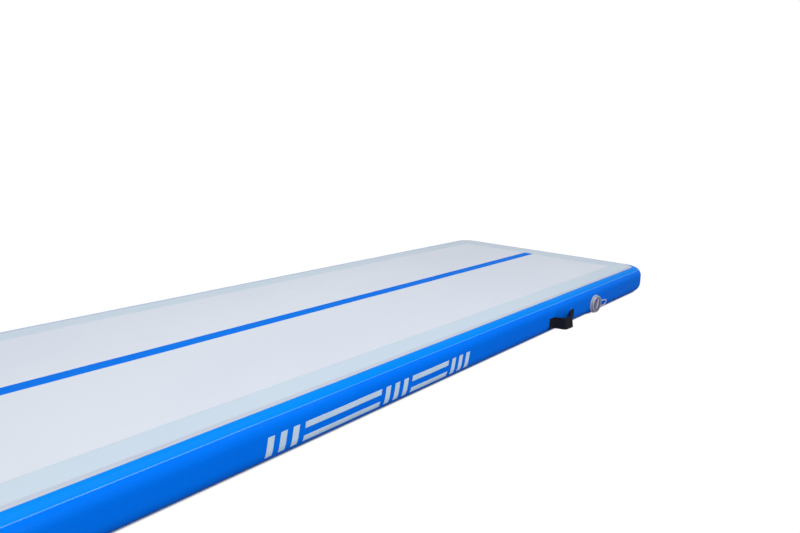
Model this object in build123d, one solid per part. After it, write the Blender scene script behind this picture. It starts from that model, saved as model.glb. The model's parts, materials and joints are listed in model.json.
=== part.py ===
from build123d import *
import os

# Inflatable air track mat, in millimetres. +X runs along the mat, -Y is the side with the
# valve and +Z is up. The origin is the middle of the footprint, on the floor.

# ---- overall sizes ----
LENGTH = 3000.0          # over the side bands
WIDTH = 1000.0           # over the side bands
HEIGHT = 100.0           # floor to the top of the border tape
CORNER_R = 90.0          # plan radius of the side band at each corner
ROLL_R = 34.0            # radius with which the wall rolls over at its top and bottom

# ---- coated fabrics ----
TAPE_T = 0.9             # border tapes, side band and patches
WALL_T = 1.2             # structural side wall and both panels
SEAM_BAND_T = 0.8        # inner band across the joint of panel and wall
GLUE = 0.1               # glue film between two layers
WALL_FLANGE = 60.0       # how far the wall laps in under the border tape
SEAM_FLANGE = 80.0       # the same for the inner band
LEAST_CORNER_R = 6.0

# ---- side band ----
BAND_MARGIN = 9.0        # the band stops this far from the top and the underside
COVER_X = -1000.0        # cover strip over the joint of the band's ends, on the back wall
COVER_W = 60.0
COVER_MARGIN = 13.0

# ---- border tapes and centre stripe ----
TAPE_EDGE = 35.0         # outer edge of the tape, in from the side
TAPE_W = 78.0
STRIPE_W = 45.0
STRIPE_T = 0.5

# ---- drop-stitch yarns, each one standing for a bundle ----
YARN_R = 1.2
YARN_PITCH = 100.0
YARN_MARGIN = 100.0      # nothing is stitched nearer to the side than this

# ---- printed motif: slanted bars and pairs of rules ----
FILM_T = 0.25
FILM_GAP = 0.05
PRINT_X = 83.0
PRINT_Z = 41.0
PRINT_H = 41.0
PRINT_SLANT = 10.0       # how far the top of a bar leans along the mat
BAR_W = 14.0
BAR_GAP = 13.0
BARS_IN_GROUP = 3
RULE_LENGTHS = (195.0, 125.0)
RULE_H = 13.0

# ---- handles ----
HANDLE_X = 829.0         # each handle's middle, from the middle of the mat
STRAP_Z = 37.0
STRAP_W = 38.0
STRAP_T = 2.0
STRAP_OUT = 42.0         # wall to the outside of the loop
STRAP_HALF_SPAN = 73.0   # to the end of a sewn tab
TAB_L = 22.0
HINGE_HALF = 40.0        # the webbing bends here, this far from the handle's middle
HINGE_GAP = 0.4
LOOP_SHOULDER = 30.0     # half width of the loop where it runs along the mat
TAB_BEND_R = 8.0
LOOP_BEND_R = 16.0
PATCH_W = 46.0
PATCH_H = 58.0
PATCH_R = 8.0
TACK_W = 1.8
TACK_H = 30.0
TACK_T = 0.6
TACKS_IN = (4.0, 13.0)   # rows of stitches, in from the tab's end
STUB_LAP = 5.5           # the standing webbing starts this far onto its tab

# ---- valve, on the front wall; depths are in from the wall and rises out from it ----
VALVE_X = 1050.0
VALVE_Z = 39.0
FIT = 0.1                # running clearance between valve pieces
SADDLE_R = 34.0          # outer seating pad
SADDLE_RISE = 1.0
INNER_SADDLE_R = 28.0
INNER_SADDLE_DEPTH = 15.0
GASKET_T = 1.0
GASKET_R = 29.0
FLANGE_R = 32.5
FLANGE_T = 3.0
FLANGE_EDGE_R = 1.2
BARREL_R = 20.0
BARREL_DEPTH = 30.0
SOCKET_R = 15.0
COLLAR_R = 21.0
COLLAR_H = 4.5
SPIDER_DEPTH = 16.0      # outer face of the spider that guides the stem
SPIDER_T = 3.0
SPIDER_WEB = 4.0
HUB_R = 5.5
NUT_R = 26.0
NUT_T = 7.0
NUT_FLATS = 12
STEM_R = 2.5
STEM_HEAD_R = 5.0
STEM_HEAD_T = 2.5
BUTTON_R = 5.5
BUTTON_T = 3.0
BUTTON_RISE = 1.0
PRESS = 6.0              # stem travel
SEAT_T = 1.2             # spring seat washer under the button
SPRING_R = 4.2
SPRING_WIRE_R = 0.5
SPRING_TURNS = 5
DISC_R = 18.0
DISC_T = 2.0
CAP_R = 27.0
CAP_TOP_T = 3.0
CAP_EDGE_R = 1.0
SKIRT_R = 24.5
SKIRT_GAP = 2.2          # cap's skirt above the flange
CAP_SEAL_T = 1.0
CAP_SEAL_W = 5.0
GRIP_L = 34.0
GRIP_W = 5.0
GRIP_H = 2.5
CAP_NOTCHES = 16
NOTCH_R = 1.5
CAP_RING_T = 2.4
TETHER_RING_T = 1.4
TETHER_W = 4.0
TETHER_T = 1.4
TETHER_GAP = 1.0         # from the ring to the middle of the tether's end
TETHER_REACH = 44.0      # how far the tether's loop stands past the flange
TETHER_BEND_R = 2.6
TETHER_END_A = 16.0      # where the tether leaves the cap's ring, up from level
TETHER_FOOT_A = -28.0    # where it is fixed beside the base ring
TETHER_FOOT_R = 29.5
TETHER_POST_R = 1.9
TETHER_ARM_W = 5.0

# ---- levels that follow from the sizes ----
WALL_IN = TAPE_T + GLUE
WALL_BACK = WALL_IN + WALL_T
SEAM_IN = WALL_BACK + GLUE
SEAM_BACK = SEAM_IN + SEAM_BAND_T
PATCH_OUT = GLUE + TAPE_T
TAB_IN = PATCH_OUT + GLUE
TAB_OUT = TAB_IN + STRAP_T
TAB_END = STRAP_HALF_SPAN - TAB_L

FLANGE_LOW = SADDLE_RISE + GASKET_T
FLANGE_TOP = FLANGE_LOW + FLANGE_T
COLLAR_TOP = FLANGE_TOP + COLLAR_H
CAP_UNDER = COLLAR_TOP + CAP_SEAL_T
CAP_TOP = CAP_UNDER + CAP_TOP_T
SKIRT_LOW = FLANGE_TOP + SKIRT_GAP
BUTTON_UNDER = BUTTON_RISE - BUTTON_T
SEAT_UNDER = BUTTON_UNDER - SEAT_T
CAP_RING_R = CAP_R - 0.5
CAP_RING_TOP = CAP_UNDER - FIT

FRONT, BACK = -1, 1
SIDES = (("front", FRONT), ("back", BACK))
ENDS = (("left", -1), ("right", 1))
VALVE = Plane((VALVE_X, -WIDTH / 2, VALVE_Z), x_dir=(1, 0, 0), z_dir=(0, -1, 0))

os.makedirs("parts", exist_ok=True)


def save(name, shape):
    export_step(shape, f"parts/{name}.step")


def plate(inset, z_low, z_high):
    """A flat sheet in the mat's plan, this far in from the outside."""
    radius = max(CORNER_R - inset, LEAST_CORNER_R)
    outline = RectangleRounded(LENGTH - 2 * inset, WIDTH - 2 * inset, radius)
    return Pos(0, 0, z_low) * extrude(outline, z_high - z_low)


def envelope(inset):
    """The mat's closed outer form, moved in by inset."""
    block = plate(inset, inset, HEIGHT - inset)
    rims = block.edges().group_by(Axis.Z)
    return fillet(rims[0] + rims[-1], ROLL_R - inset)


def wall_shell(outer, inner, flange):
    """One wrapped layer all round the mat, open over and under the panels."""
    return envelope(outer) - envelope(inner) - plate(flange, 0, HEIGHT)


def bar_of_wall(inset, x_mid, x_length):
    """A straight length of the mat's section, moved in by inset."""
    section = RectangleRounded(WIDTH - 2 * inset, HEIGHT - 2 * inset, ROLL_R - inset)
    return Pos(x_mid, 0, HEIGHT / 2) * extrude(Plane.YZ * section, x_length / 2, both=True)


def wall_layer(outer, inner, x_mid, x_length):
    return bar_of_wall(outer, x_mid, x_length) - bar_of_wall(inner, x_mid, x_length)


def through_wall(outline, x_mid, z_mid, side):
    """An outline in the plane of a long wall, drawn out through that wall."""
    wall = Plane((x_mid, side * WIDTH / 2, z_mid), x_dir=(1, 0, 0), z_dir=(0, -1, 0))
    return extrude(wall * outline, 2 * ROLL_R, both=True)


def on_wall(outline, outer, inner, x_mid, z_mid, side):
    """A piece of fabric with this outline, laid on a long wall and following its roll."""
    reach = 2 * outline.bounding_box().size.X
    return wall_layer(outer, inner, x_mid, reach) & through_wall(outline, x_mid, z_mid, side)


def valve_ring(outer_r, inner_r, low, high):
    """A ring or, with no inner radius, a disc about the valve's axis."""
    outline = Circle(outer_r)
    if inner_r:
        outline -= Circle(inner_r)
    return VALVE * (Pos(0, 0, low) * extrude(outline, high - low))


# ---------------------------------------------------------------- panels and walls

def make_panels():
    inset = WALL_FLANGE + GLUE
    save("top_panel", plate(inset, HEIGHT - WALL_BACK, HEIGHT - WALL_IN))
    save("bottom_panel", plate(inset, WALL_IN, WALL_BACK))


def make_walls():
    bore = valve_ring(BARREL_R + FIT, 0, -2 * ROLL_R, SADDLE_RISE)
    save("side_wall", wall_shell(WALL_IN, WALL_BACK, WALL_FLANGE) - bore)
    save("inner_seam_band", wall_shell(SEAM_IN, SEAM_BACK, SEAM_FLANGE) - bore)
    band = wall_shell(0, TAPE_T, WALL_FLANGE)
    level = plate(-TAPE_T, BAND_MARGIN, HEIGHT - BAND_MARGIN)
    save("side_band", (band & level) - bore)
    cover = Rectangle(COVER_W, HEIGHT - 2 * COVER_MARGIN)
    strip = on_wall(cover, -PATCH_OUT, -GLUE, COVER_X, HEIGHT / 2, BACK)
    save("side_band_joint_cover", strip)


def make_yarns():
    across = int((WIDTH - 2 * YARN_MARGIN) / YARN_PITCH) + 1
    along = int((LENGTH - 2 * YARN_MARGIN) / YARN_PITCH) + 1
    yarn = extrude(Circle(YARN_R), HEIGHT - 2 * WALL_BACK)
    grid = GridLocations(YARN_PITCH, YARN_PITCH, along, across)
    yarns = [Pos(0, 0, WALL_BACK) * (place * yarn) for place in grid]
    save("drop_stitch_yarns", Compound(children=yarns))


def tape_frame(z_low):
    """The border as two long tapes with rounded corners and two end tapes between them."""
    inner = TAPE_EDGE + TAPE_W
    whole = plate(TAPE_EDGE, z_low, z_low + TAPE_T)
    long_y = WIDTH / 2 - inner
    pieces = {}
    for name, side in SIDES:
        strip = Pos(0, side * (long_y + WIDTH / 2), z_low) * Box(LENGTH, WIDTH, 2 * HEIGHT)
        pieces[name] = whole & strip
    end_w = 2 * (long_y - GLUE)
    for name, end in ENDS:
        x_mid = end * (LENGTH / 2 - TAPE_EDGE - TAPE_W / 2)
        pieces[name] = Pos(x_mid, 0, z_low + TAPE_T / 2) * Box(TAPE_W, end_w, TAPE_T)
    return pieces


def make_tapes():
    for level, z_low in (("top", HEIGHT - TAPE_T), ("bottom", 0.0)):
        for name, tape in tape_frame(z_low).items():
            save(f"{level}_tape_{name}", tape)
    stripe_l = LENGTH - 2 * (TAPE_EDGE + TAPE_W + GLUE)
    z_mid = HEIGHT - WALL_IN + STRIPE_T / 2
    save("centre_stripe", Pos(0, 0, z_mid) * Box(stripe_l, STRIPE_W, STRIPE_T))


# ---------------------------------------------------------------- printed motif

def slanted(x_low, width, z_low, height):
    """A parallelogram whose sides all lean as the motif does."""
    lean_low = PRINT_SLANT * z_low / PRINT_H
    lean_high = PRINT_SLANT * (z_low + height) / PRINT_H
    corners = [
        (x_low + lean_low, z_low),
        (x_low + width + lean_low, z_low),
        (x_low + width + lean_high, z_low + height),
        (x_low + lean_high, z_low + height),
    ]
    return Polygon(*corners, align=None)


def motif():
    """Groups of bars with a pair of rules between one group and the next."""
    groups = len(RULE_LENGTHS) + 1
    bars = groups * BARS_IN_GROUP
    total = bars * BAR_W + sum(RULE_LENGTHS) + (bars + len(RULE_LENGTHS) - 1) * BAR_GAP
    x = -total / 2
    shapes = []
    for group in range(groups):
        for _ in range(BARS_IN_GROUP):
            shapes.append(slanted(x, BAR_W, 0, PRINT_H))
            x += BAR_W + BAR_GAP
        if group < len(RULE_LENGTHS):
            for z_low in (0, PRINT_H - RULE_H):
                shapes.append(slanted(x, RULE_LENGTHS[group], z_low, RULE_H))
            x += RULE_LENGTHS[group] + BAR_GAP
    lowered = Pos(-PRINT_SLANT / 2, -PRINT_H / 2)
    return [lowered * shape for shape in shapes]


def make_prints():
    shapes = motif()
    reach = LENGTH / 2
    film = wall_layer(-FILM_GAP - FILM_T, -FILM_GAP, PRINT_X, reach)
    for name, side in SIDES:
        solids = []
        for shape in shapes:
            solids += (film & through_wall(shape, PRINT_X, PRINT_Z, side)).solids()
        save(f"{name}_print", Compound(children=solids))


# ---------------------------------------------------------------- handles

def strap_loop(x_mid, side):
    """The whole webbing loop, standing out from the wall between its two tabs."""
    lie = TAB_IN + STRAP_T / 2
    out = STRAP_OUT - STRAP_T / 2
    start = TAB_END + STUB_LAP
    points = [(-start, lie), (-TAB_END, lie), (-LOOP_SHOULDER, out)]
    points += [(-x, y) for x, y in reversed(points)]
    radii = [TAB_BEND_R, LOOP_BEND_R, LOOP_BEND_R, TAB_BEND_R]
    ribbon = trace(FilletPolyline(*points, radius=radii), STRAP_T)
    loop = extrude(ribbon, STRAP_W)
    if side == FRONT:
        loop = mirror(loop, Plane.XZ)
    return Pos(x_mid, side * WIDTH / 2, STRAP_Z - STRAP_W / 2) * loop


def make_handle(name, x_mid, side):
    loop = strap_loop(x_mid, side)
    y_mid = side * WIDTH / 2
    grip_l = 2 * HINGE_HALF - HINGE_GAP
    save(f"{name}_handle_grip", loop & Pos(x_mid, y_mid, 0) * Box(grip_l, WIDTH, 2 * HEIGHT))

    gap = Pos(x_mid, y_mid, 0) * Box(2 * HINGE_HALF + HINGE_GAP, WIDTH, 2 * HEIGHT)
    patches, ends, tacks = [], [], []
    for sign in (-1, 1):
        x_tab = x_mid + sign * (STRAP_HALF_SPAN - TAB_L / 2)
        outline = RectangleRounded(PATCH_W, PATCH_H, PATCH_R)
        patches.append(on_wall(outline, -PATCH_OUT, -GLUE, x_tab, STRAP_Z, side))
        tab = on_wall(Rectangle(TAB_L, STRAP_W), -TAB_OUT, -TAB_IN, x_tab, STRAP_Z, side)
        half = Pos(x_mid + sign * LENGTH / 2, 0, 0) * Box(LENGTH, 3 * WIDTH, 2 * HEIGHT)
        ends.append(tab + ((loop - gap) & half))
        thread = Rectangle(TACK_W, TACK_H)
        rise = TAB_OUT + FILM_GAP
        for inward in TACKS_IN:
            x_tack = x_mid + sign * (STRAP_HALF_SPAN - inward)
            tacks.append(on_wall(thread, -rise - TACK_T, -rise, x_tack, STRAP_Z, side))
    save(f"{name}_handle_patches", Compound(children=patches))
    save(f"{name}_handle_ends", Compound(children=ends))
    save(f"{name}_handle_stitching", Compound(children=tacks))


def make_handles():
    for side_name, side in SIDES:
        for end_name, end in ENDS:
            make_handle(f"{side_name}_{end_name}", end * HANDLE_X, side)


# ---------------------------------------------------------------- valve, fixed pieces

def make_saddles():
    bore_r = BARREL_R + FIT
    reach = 4 * SADDLE_R
    outer = valve_ring(SADDLE_R, bore_r, -ROLL_R, SADDLE_RISE)
    save("valve_seat_pad", outer - bar_of_wall(-GLUE, VALVE_X, reach))
    inner = valve_ring(INNER_SADDLE_R, bore_r, -INNER_SADDLE_DEPTH, 0)
    save("valve_inner_pad", inner & bar_of_wall(SEAM_BACK + GLUE, VALVE_X, reach))
    save("valve_gasket", valve_ring(GASKET_R, bore_r, SADDLE_RISE, FLANGE_LOW))


def make_valve_body():
    flange = valve_ring(FLANGE_R, 0, FLANGE_LOW, FLANGE_TOP)
    rim = flange.edges().filter_by(GeomType.CIRCLE).sort_by(Axis.Y)[0]
    body = fillet(rim, FLANGE_EDGE_R)
    body += valve_ring(BARREL_R, 0, -BARREL_DEPTH, FLANGE_LOW)
    body += valve_ring(COLLAR_R, 0, FLANGE_TOP, COLLAR_TOP)
    body -= valve_ring(SOCKET_R, 0, -BARREL_DEPTH, COLLAR_TOP)
    web = Rectangle(2 * SOCKET_R + 1, SPIDER_WEB)
    spider = Circle(HUB_R) + web + Rot(0, 0, 90) * web
    spider -= Circle(STEM_R + FIT)
    body += VALVE * (Pos(0, 0, -SPIDER_DEPTH - SPIDER_T) * extrude(spider, SPIDER_T))
    save("valve_body", body)


def make_clamp_nut():
    outline = RegularPolygon(NUT_R, NUT_FLATS) - Circle(BARREL_R + FIT)
    low = -INNER_SADDLE_DEPTH - NUT_T
    save("valve_clamp_nut", VALVE * (Pos(0, 0, low) * extrude(outline, NUT_T)))


# ---------------------------------------------------------------- valve, moving pieces

def make_stem():
    stem = valve_ring(BUTTON_R, 0, BUTTON_UNDER, BUTTON_RISE)
    stem += valve_ring(STEM_R, 0, -BARREL_DEPTH - DISC_T, BUTTON_UNDER)
    foot = -BARREL_DEPTH - DISC_T
    stem += valve_ring(STEM_HEAD_R, 0, foot - STEM_HEAD_T, foot)
    slot = Pos(0, 0, BUTTON_RISE) * Box(2 * BUTTON_R, 1.2, 1.6)
    save("valve_stem", stem - VALVE * slot)
    save("valve_diaphragm", valve_ring(DISC_R, STEM_R + FIT, foot, -BARREL_DEPTH))
    save("stem_spring_seat", valve_ring(BUTTON_R, STEM_R + FIT, SEAT_UNDER, BUTTON_UNDER))


def make_spring():
    low = -SPIDER_DEPTH + SPRING_WIRE_R + FIT
    high = SEAT_UNDER - SPRING_WIRE_R - FIT
    coil = Helix(pitch=(high - low) / SPRING_TURNS, height=high - low, radius=SPRING_R)
    wire = Plane(coil @ 0, z_dir=coil % 0) * Circle(SPRING_WIRE_R)
    save("valve_spring", VALVE * (Pos(0, 0, low) * sweep(wire, path=coil, is_frenet=True)))


def make_cap():
    head = valve_ring(CAP_R, 0, CAP_UNDER, CAP_TOP)
    rim = head.edges().filter_by(GeomType.CIRCLE).sort_by(Axis.Y)[0]
    cap = fillet(rim, CAP_EDGE_R)
    cap += valve_ring(SKIRT_R, COLLAR_R + FIT, SKIRT_LOW, CAP_UNDER)
    grip = Pos(0, 0, CAP_TOP) * Box(GRIP_L, GRIP_W, 2 * GRIP_H)
    cap += VALVE * fillet(grip.edges().filter_by(Axis.Z), GRIP_W / 2 - FIT)
    for place in PolarLocations(CAP_R + NOTCH_R / 3, CAP_NOTCHES):
        notch = Pos(0, 0, CAP_UNDER) * (place * extrude(Circle(NOTCH_R), CAP_TOP_T))
        cap -= VALVE * notch
    save("valve_cap", cap)
    seal_in = COLLAR_R - CAP_SEAL_W
    save("cap_seal", valve_ring(COLLAR_R - FIT, seal_in, COLLAR_TOP, CAP_UNDER))
    ring_low = CAP_RING_TOP - CAP_RING_T
    save("tether_cap_ring", valve_ring(CAP_RING_R, SKIRT_R + FIT, ring_low, CAP_RING_TOP))


def make_tether():
    """Two rings and the flat strap between them, which hangs beside the flange in a loop."""
    strap_low = CAP_RING_TOP - (CAP_RING_T + TETHER_T) / 2
    foot = Vector(TETHER_FOOT_R, 0).rotate(Axis.Z, TETHER_FOOT_A)
    start = Vector(CAP_RING_R + TETHER_GAP, 0).rotate(Axis.Z, TETHER_END_A)
    reach = FLANGE_R + TETHER_REACH
    points = [
        start,
        (start.X + TETHER_REACH / 3, start.Y - TETHER_W / 4),
        (reach - TETHER_BEND_R, foot.Y + 2 * TETHER_BEND_R),
        (reach, foot.Y),
        (reach - TETHER_REACH / 3, foot.Y - TETHER_W / 2),
        foot,
    ]
    ribbon = trace(FilletPolyline(*points, radius=TETHER_BEND_R), TETHER_W)
    save("cap_tether", VALVE * (Pos(0, 0, strap_low) * extrude(ribbon, TETHER_T)))

    ring = Circle(SKIRT_R) - Circle(COLLAR_R + FIT)
    arm_l = TETHER_FOOT_R - SKIRT_R + 1
    arm = Pos(SKIRT_R - 1 + arm_l / 2, 0) * Rectangle(arm_l, TETHER_ARM_W)
    post = Pos(TETHER_FOOT_R, 0) * Circle(TETHER_POST_R)
    arm = Rot(0, 0, TETHER_FOOT_A) * (arm + post)
    base = Pos(0, 0, FLANGE_TOP) * extrude(ring + arm, TETHER_RING_T)
    post = Rot(0, 0, TETHER_FOOT_A) * post
    base += Pos(0, 0, FLANGE_TOP) * extrude(post, strap_low - FIT - FLANGE_TOP)
    save("tether_base_ring", VALVE * base)


make_panels()
make_walls()
make_yarns()
make_tapes()
make_prints()
make_handles()
make_saddles()
make_valve_body()
make_clamp_nut()
make_stem()
make_spring()
make_cap()
make_tether()
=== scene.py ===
"""Builds the looks of an inflatable air track mat round its CAD frame.

The mat lies along X with the valve side at -Y and the floor at z = 0. Each skin is laid out
in the plain form of the frame, and then one rule, settle(), moves every skin in the same
way, so that the glued layers stay together. All lengths are in metres.
"""

import json
import math

import bmesh
import bpy
import numpy as np
from bpy.props import (
    FloatProperty,
    FloatVectorProperty,
    IntProperty,
    PointerProperty,
)
from mathutils import Matrix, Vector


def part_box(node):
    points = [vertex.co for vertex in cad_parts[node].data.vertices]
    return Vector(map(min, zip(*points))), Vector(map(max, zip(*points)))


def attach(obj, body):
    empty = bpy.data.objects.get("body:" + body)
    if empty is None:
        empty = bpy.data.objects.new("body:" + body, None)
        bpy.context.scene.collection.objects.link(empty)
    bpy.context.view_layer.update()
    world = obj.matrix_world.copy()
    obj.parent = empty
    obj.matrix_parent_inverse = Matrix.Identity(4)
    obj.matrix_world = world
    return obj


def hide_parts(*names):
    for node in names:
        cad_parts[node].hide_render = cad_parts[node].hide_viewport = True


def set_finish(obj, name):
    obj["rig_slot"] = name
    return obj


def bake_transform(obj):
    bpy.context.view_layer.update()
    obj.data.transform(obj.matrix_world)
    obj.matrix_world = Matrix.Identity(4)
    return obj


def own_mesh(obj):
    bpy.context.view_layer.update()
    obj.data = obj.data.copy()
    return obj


bl_info = {
    "name": "Air track mat",
    "version": (1, 0, 0),
    "blender": (4, 5, 0),
    "location": "3D View > Sidebar > Air Mat",
    "description": "Skins, handles, valve and stage of an inflatable air track mat",
    "category": "Add Mesh",
}

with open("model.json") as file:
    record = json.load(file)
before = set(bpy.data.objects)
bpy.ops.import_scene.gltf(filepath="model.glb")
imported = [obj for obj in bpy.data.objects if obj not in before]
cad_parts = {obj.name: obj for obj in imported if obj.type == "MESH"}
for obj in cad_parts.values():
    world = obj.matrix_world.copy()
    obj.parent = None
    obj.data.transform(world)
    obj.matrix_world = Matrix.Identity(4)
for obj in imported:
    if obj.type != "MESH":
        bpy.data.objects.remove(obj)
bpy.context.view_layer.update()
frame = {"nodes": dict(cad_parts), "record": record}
MM = 0.001

# ---- the plain form, as the frame has it ----
HALF_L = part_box("side_band")[1].x
HALF_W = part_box("side_band")[1].y
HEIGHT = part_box("top_tape_front")[1].z
CORNER_R = 90 * MM
ROLL_R = 34 * MM
CORE_X = HALF_L - CORNER_R
CORE_Y = HALF_W - CORNER_R
FRONT, BACK = -1, 1

# ---- layers of coated fabric: depth of the outer face, thickness, lap under the border ----
BAND_T = 0.9 * MM
WALL_DEPTH, WALL_T, WALL_LAP = 1.0 * MM, 1.2 * MM, 60 * MM
SEAM_DEPTH, SEAM_T, SEAM_LAP = 2.3 * MM, 0.8 * MM, 80 * MM
BAND_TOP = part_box("side_band")[1].z
EDGE_STEPS = np.array([0, 0.06, 0.22, 0.5, 1.0])    # shares of a sheet's rounded edge

# ---- valve, on the front wall ----
_body_low, _body_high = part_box("valve_body")
VALVE_X = (_body_low.x + _body_high.x) / 2
VALVE_Z = (_body_low.z + _body_high.z) / 2
VALVE_BORE = 20.1 * MM
SEAT_RISE = 1.0 * MM      # the wall lies this far out under the valve's flange
SEAT_FLAT, SEAT_END = 29 * MM, 37 * MM      # where the flat seat ends and the free wall starts
SPRING_WIRE_R, SPRING_TURNS, PRESS = 0.45 * MM, 5, 6 * MM
CAP_FACE_R, CAP_FACE_OUT = 26.2 * MM, 11.5 * MM     # bounds of the cap's coloured face
GRIP_TURN = math.radians(72)    # how far the cap's bar is turned from level
TETHER_W, TETHER_T, TETHER_SAG = 4.0 * MM, 1.4 * MM, 1.6 * MM

# ---- corner puckers, border creases and the painted shade along the floor ----
PUCKERS, PUCKER_DRIFT = 27, 1.2
SWELL_REACH = 60 * MM       # how far in from the side the wall's swelling is felt
CREASE_PITCH, CREASE_REACH = 5.2 * MM, 14 * MM
# Painted shade along the floor, standing in for the contact shadow under the lower roll.
PAINTED_SHADOW = ((0.001, 0.012, 0.07), 12 * MM)     # its colour and how high it reaches

# ---- printed bars and rules ----
PRINT_X, PRINT_Z, PRINT_H = 83 * MM, 41 * MM, 41 * MM
PRINT_LEAN = 10 * MM
BAR_W, BAR_GAP, BARS_IN_GROUP = 14 * MM, 13 * MM, 3
RULE_LENGTHS, RULE_H = (195 * MM, 125 * MM), 13 * MM
FILM_RISE, FILM_T = 0.05 * MM, 0.25 * MM

# ---- handles ----
STRAP_Z, STRAP_W = 37 * MM, 38 * MM
TAB_RISE = 2.1 * MM       # the wall to the middle of a sewn tab
TAB_END, TAB_START, TAB_FREE = 73 * MM, 51 * MM, 43 * MM
STITCH_BOX = (54.5 * MM, 70.5 * MM, 21.5 * MM, 52.5 * MM)      # inner, outer, low and high
LOOP_SHOULDER, LOOP_SKEW, LOOP_OUT = 25 * MM, 6 * MM, 32 * MM      # where the loop bends out
TAB_BEND_R, LOOP_BEND_R = 7 * MM, 18 * MM
PATCH_MID, PATCH_W, PATCH_H, PATCH_R = 62 * MM, 46 * MM, 58 * MM, 8 * MM
PATCH_RISE, PATCH_T = 0.1 * MM, 0.9 * MM
STRAP_EDGE = 1 * MM         # the webbing's rounded edge
LOOP_TIP, LOOP_CURL, LOOP_LIFT = 0.12, 0.9 * MM, 1.3 * MM       # how the slack loop hangs
HANDLES = [
    (f"{side_name}_{end_name}", side)
    for side_name, side in (("front", FRONT), ("back", BACK))
    for end_name in ("left", "right")
]


# ================================================================ settings

def length(name, description, default, **more):
    return FloatProperty(
        name=name, description=description, default=default, unit="LENGTH",
        precision=5, **more)


def colour(name, description, default):
    return FloatVectorProperty(
        name=name, description=description, default=default, subtype="COLOR",
        size=3, min=0.0, max=1.0)


class AirMatSkins(bpy.types.PropertyGroup):
    """Shape of the inflated skins."""

    step: length("Step", "Distance between two stations round the mat", 8 * MM, min=4 * MM)
    crown: length("Crown", "How far the air pushes the middle of the wall out", 1.3 * MM)
    side_wave: length("Side waves", "Height of the long waves in the wall", 1.6 * MM)
    top_wave: length("Top waves", "Height of the long waves in the top", 0.9 * MM)
    pucker: length("Corner puckers", "Height of the puckers round each corner", 0.9 * MM)
    lip: length("Band lip", "Height of the welded lip along the band's edges", 0.55 * MM)
    crease: length("Border creases", "Height of the creases along the border's edge", 0.35 * MM)


class AirMatColours(bpy.types.PropertyGroup):
    """Colours of the coated fabrics and the webbing."""

    # The wall's blue is a lighter, more cyan copy of the band's, the same coated fabric: painted
    # light meant for the roll above the band, which faces up.
    wall: colour("Wall", "Side wall, seen above and below the side band", (0.001, 0.255, 0.89))
    band: colour("Side band", "Side band, its joint cover and the patches", (0.0005, 0.20, 1.0))
    # The weld's blue is lighter than the band's: a painted highlight along the lip, over its real
    # gloss.
    weld: colour("Weld", "Welded lip along the side band's edges", (0.035, 0.33, 0.95))
    top: colour("Top", "Top panel", (0.69, 0.735, 0.815))
    border: colour("Border", "Border tape", (0.575, 0.68, 0.785))
    # The outer strip's greyer tint is painted light and shade, where the tape bends down over the
    # edge.
    border_edge: colour("Border edge", "Outer strip of the border tape", (0.525, 0.58, 0.69))
    stripe: colour("Stripe", "Centre stripe", (0.0005, 0.18, 0.80))
    film: colour("Print", "Printed bars and rules", (0.70, 0.85, 1.0))
    webbing: colour("Webbing", "Handles", (0.005, 0.008, 0.020))
    valve: colour("Valve", "Valve body", (0.52, 0.57, 0.66))
    cap: colour("Cap", "Valve cap's face", (0.30, 0.24, 0.38))
    cap_mark: colour("Cap arcs", "Raised arcs on the cap's face", (0.13, 0.10, 0.22))


class AirMatHandles(bpy.types.PropertyGroup):
    """Webbing and sewing of the handles."""

    thickness: length("Webbing thickness", "Through the ribs", 2.1 * MM)
    rib_pitch: length("Rib pitch", "From one rib of the webbing to the next", 2.4 * MM)
    rib_height: length("Rib height", "Height of a rib", 0.22 * MM)
    droop: length("Droop", "How far the outer run hangs below its tabs", 5.0 * MM)
    stitch: length("Stitch spacing", "From one stitch to the next", 3.2 * MM)
    thread_r: length("Thread radius", "Half the thread's thickness", 0.38 * MM)


class AirMatValve(bpy.types.PropertyGroup):
    """Moulded detail of the valve."""

    ribs: IntProperty(
        name="Cap ribs", description="Number of ribs round the cap", default=32, min=8)
    rib_r: length("Cap rib radius", "Radius of one rib", 1.0 * MM)


class AirMatStage(bpy.types.PropertyGroup):
    """Camera and studio."""

    lens: FloatProperty(
        name="Lens", description="Focal length on a 36 mm sensor, in mm", default=21.49)
    key: FloatProperty(name="Key light", description="Power of the key light", default=57.0)
    streak: FloatProperty(name="Strip light", description="Power of the strip light", default=6.5)
    fill: FloatProperty(name="Fill light", description="Power of the fill light", default=12.5)
    sky: FloatProperty(name="Room light", description="Strength of the room's light", default=0.55)


# ================================================================ small helpers

def smooth(t):
    t = np.clip(t, 0.0, 1.0)
    return t * t * (3 - 2 * t)


def settings(name):
    return getattr(bpy.context.scene, "air_mat_" + name)


# Each row is a wave's cycles per metre along X and along Y, its phase and its share.
TOP_WAVES = ((0.9, 1.7, 0.4, 0.40), (2.3, -1.1, 2.1, 0.30), (4.1, 2.9, 5.0, 0.18),
             (7.3, -5.2, 1.3, 0.12))
SIDE_WAVES = ((1.3, 2.1, 1.0, 0.42), (3.7, 4.4, 4.2, 0.28), (6.9, -5.1, 0.3, 0.18),
              (11.8, 9.7, 2.6, 0.12))
LIP_WAVES = ((5.3, 6.1, 0.7, 0.4), (13.1, 11.2, 3.0, 0.35), (31.0, 27.0, 1.9, 0.25))
CREASE_WAVES = ((3.1, 3.4, 2.0, 0.4), (9.7, 8.3, 0.2, 0.35), (21.0, 19.0, 4.1, 0.25))


def waves(x, y, rows):
    """Long irregular waves over the plan, from 0 to 1."""
    total = 0.0
    for along, across, phase, share in rows:
        total = total + share * np.sin(2 * math.pi * (along * x + across * y) + phase)
    return 0.5 + 0.5 * total


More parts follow.
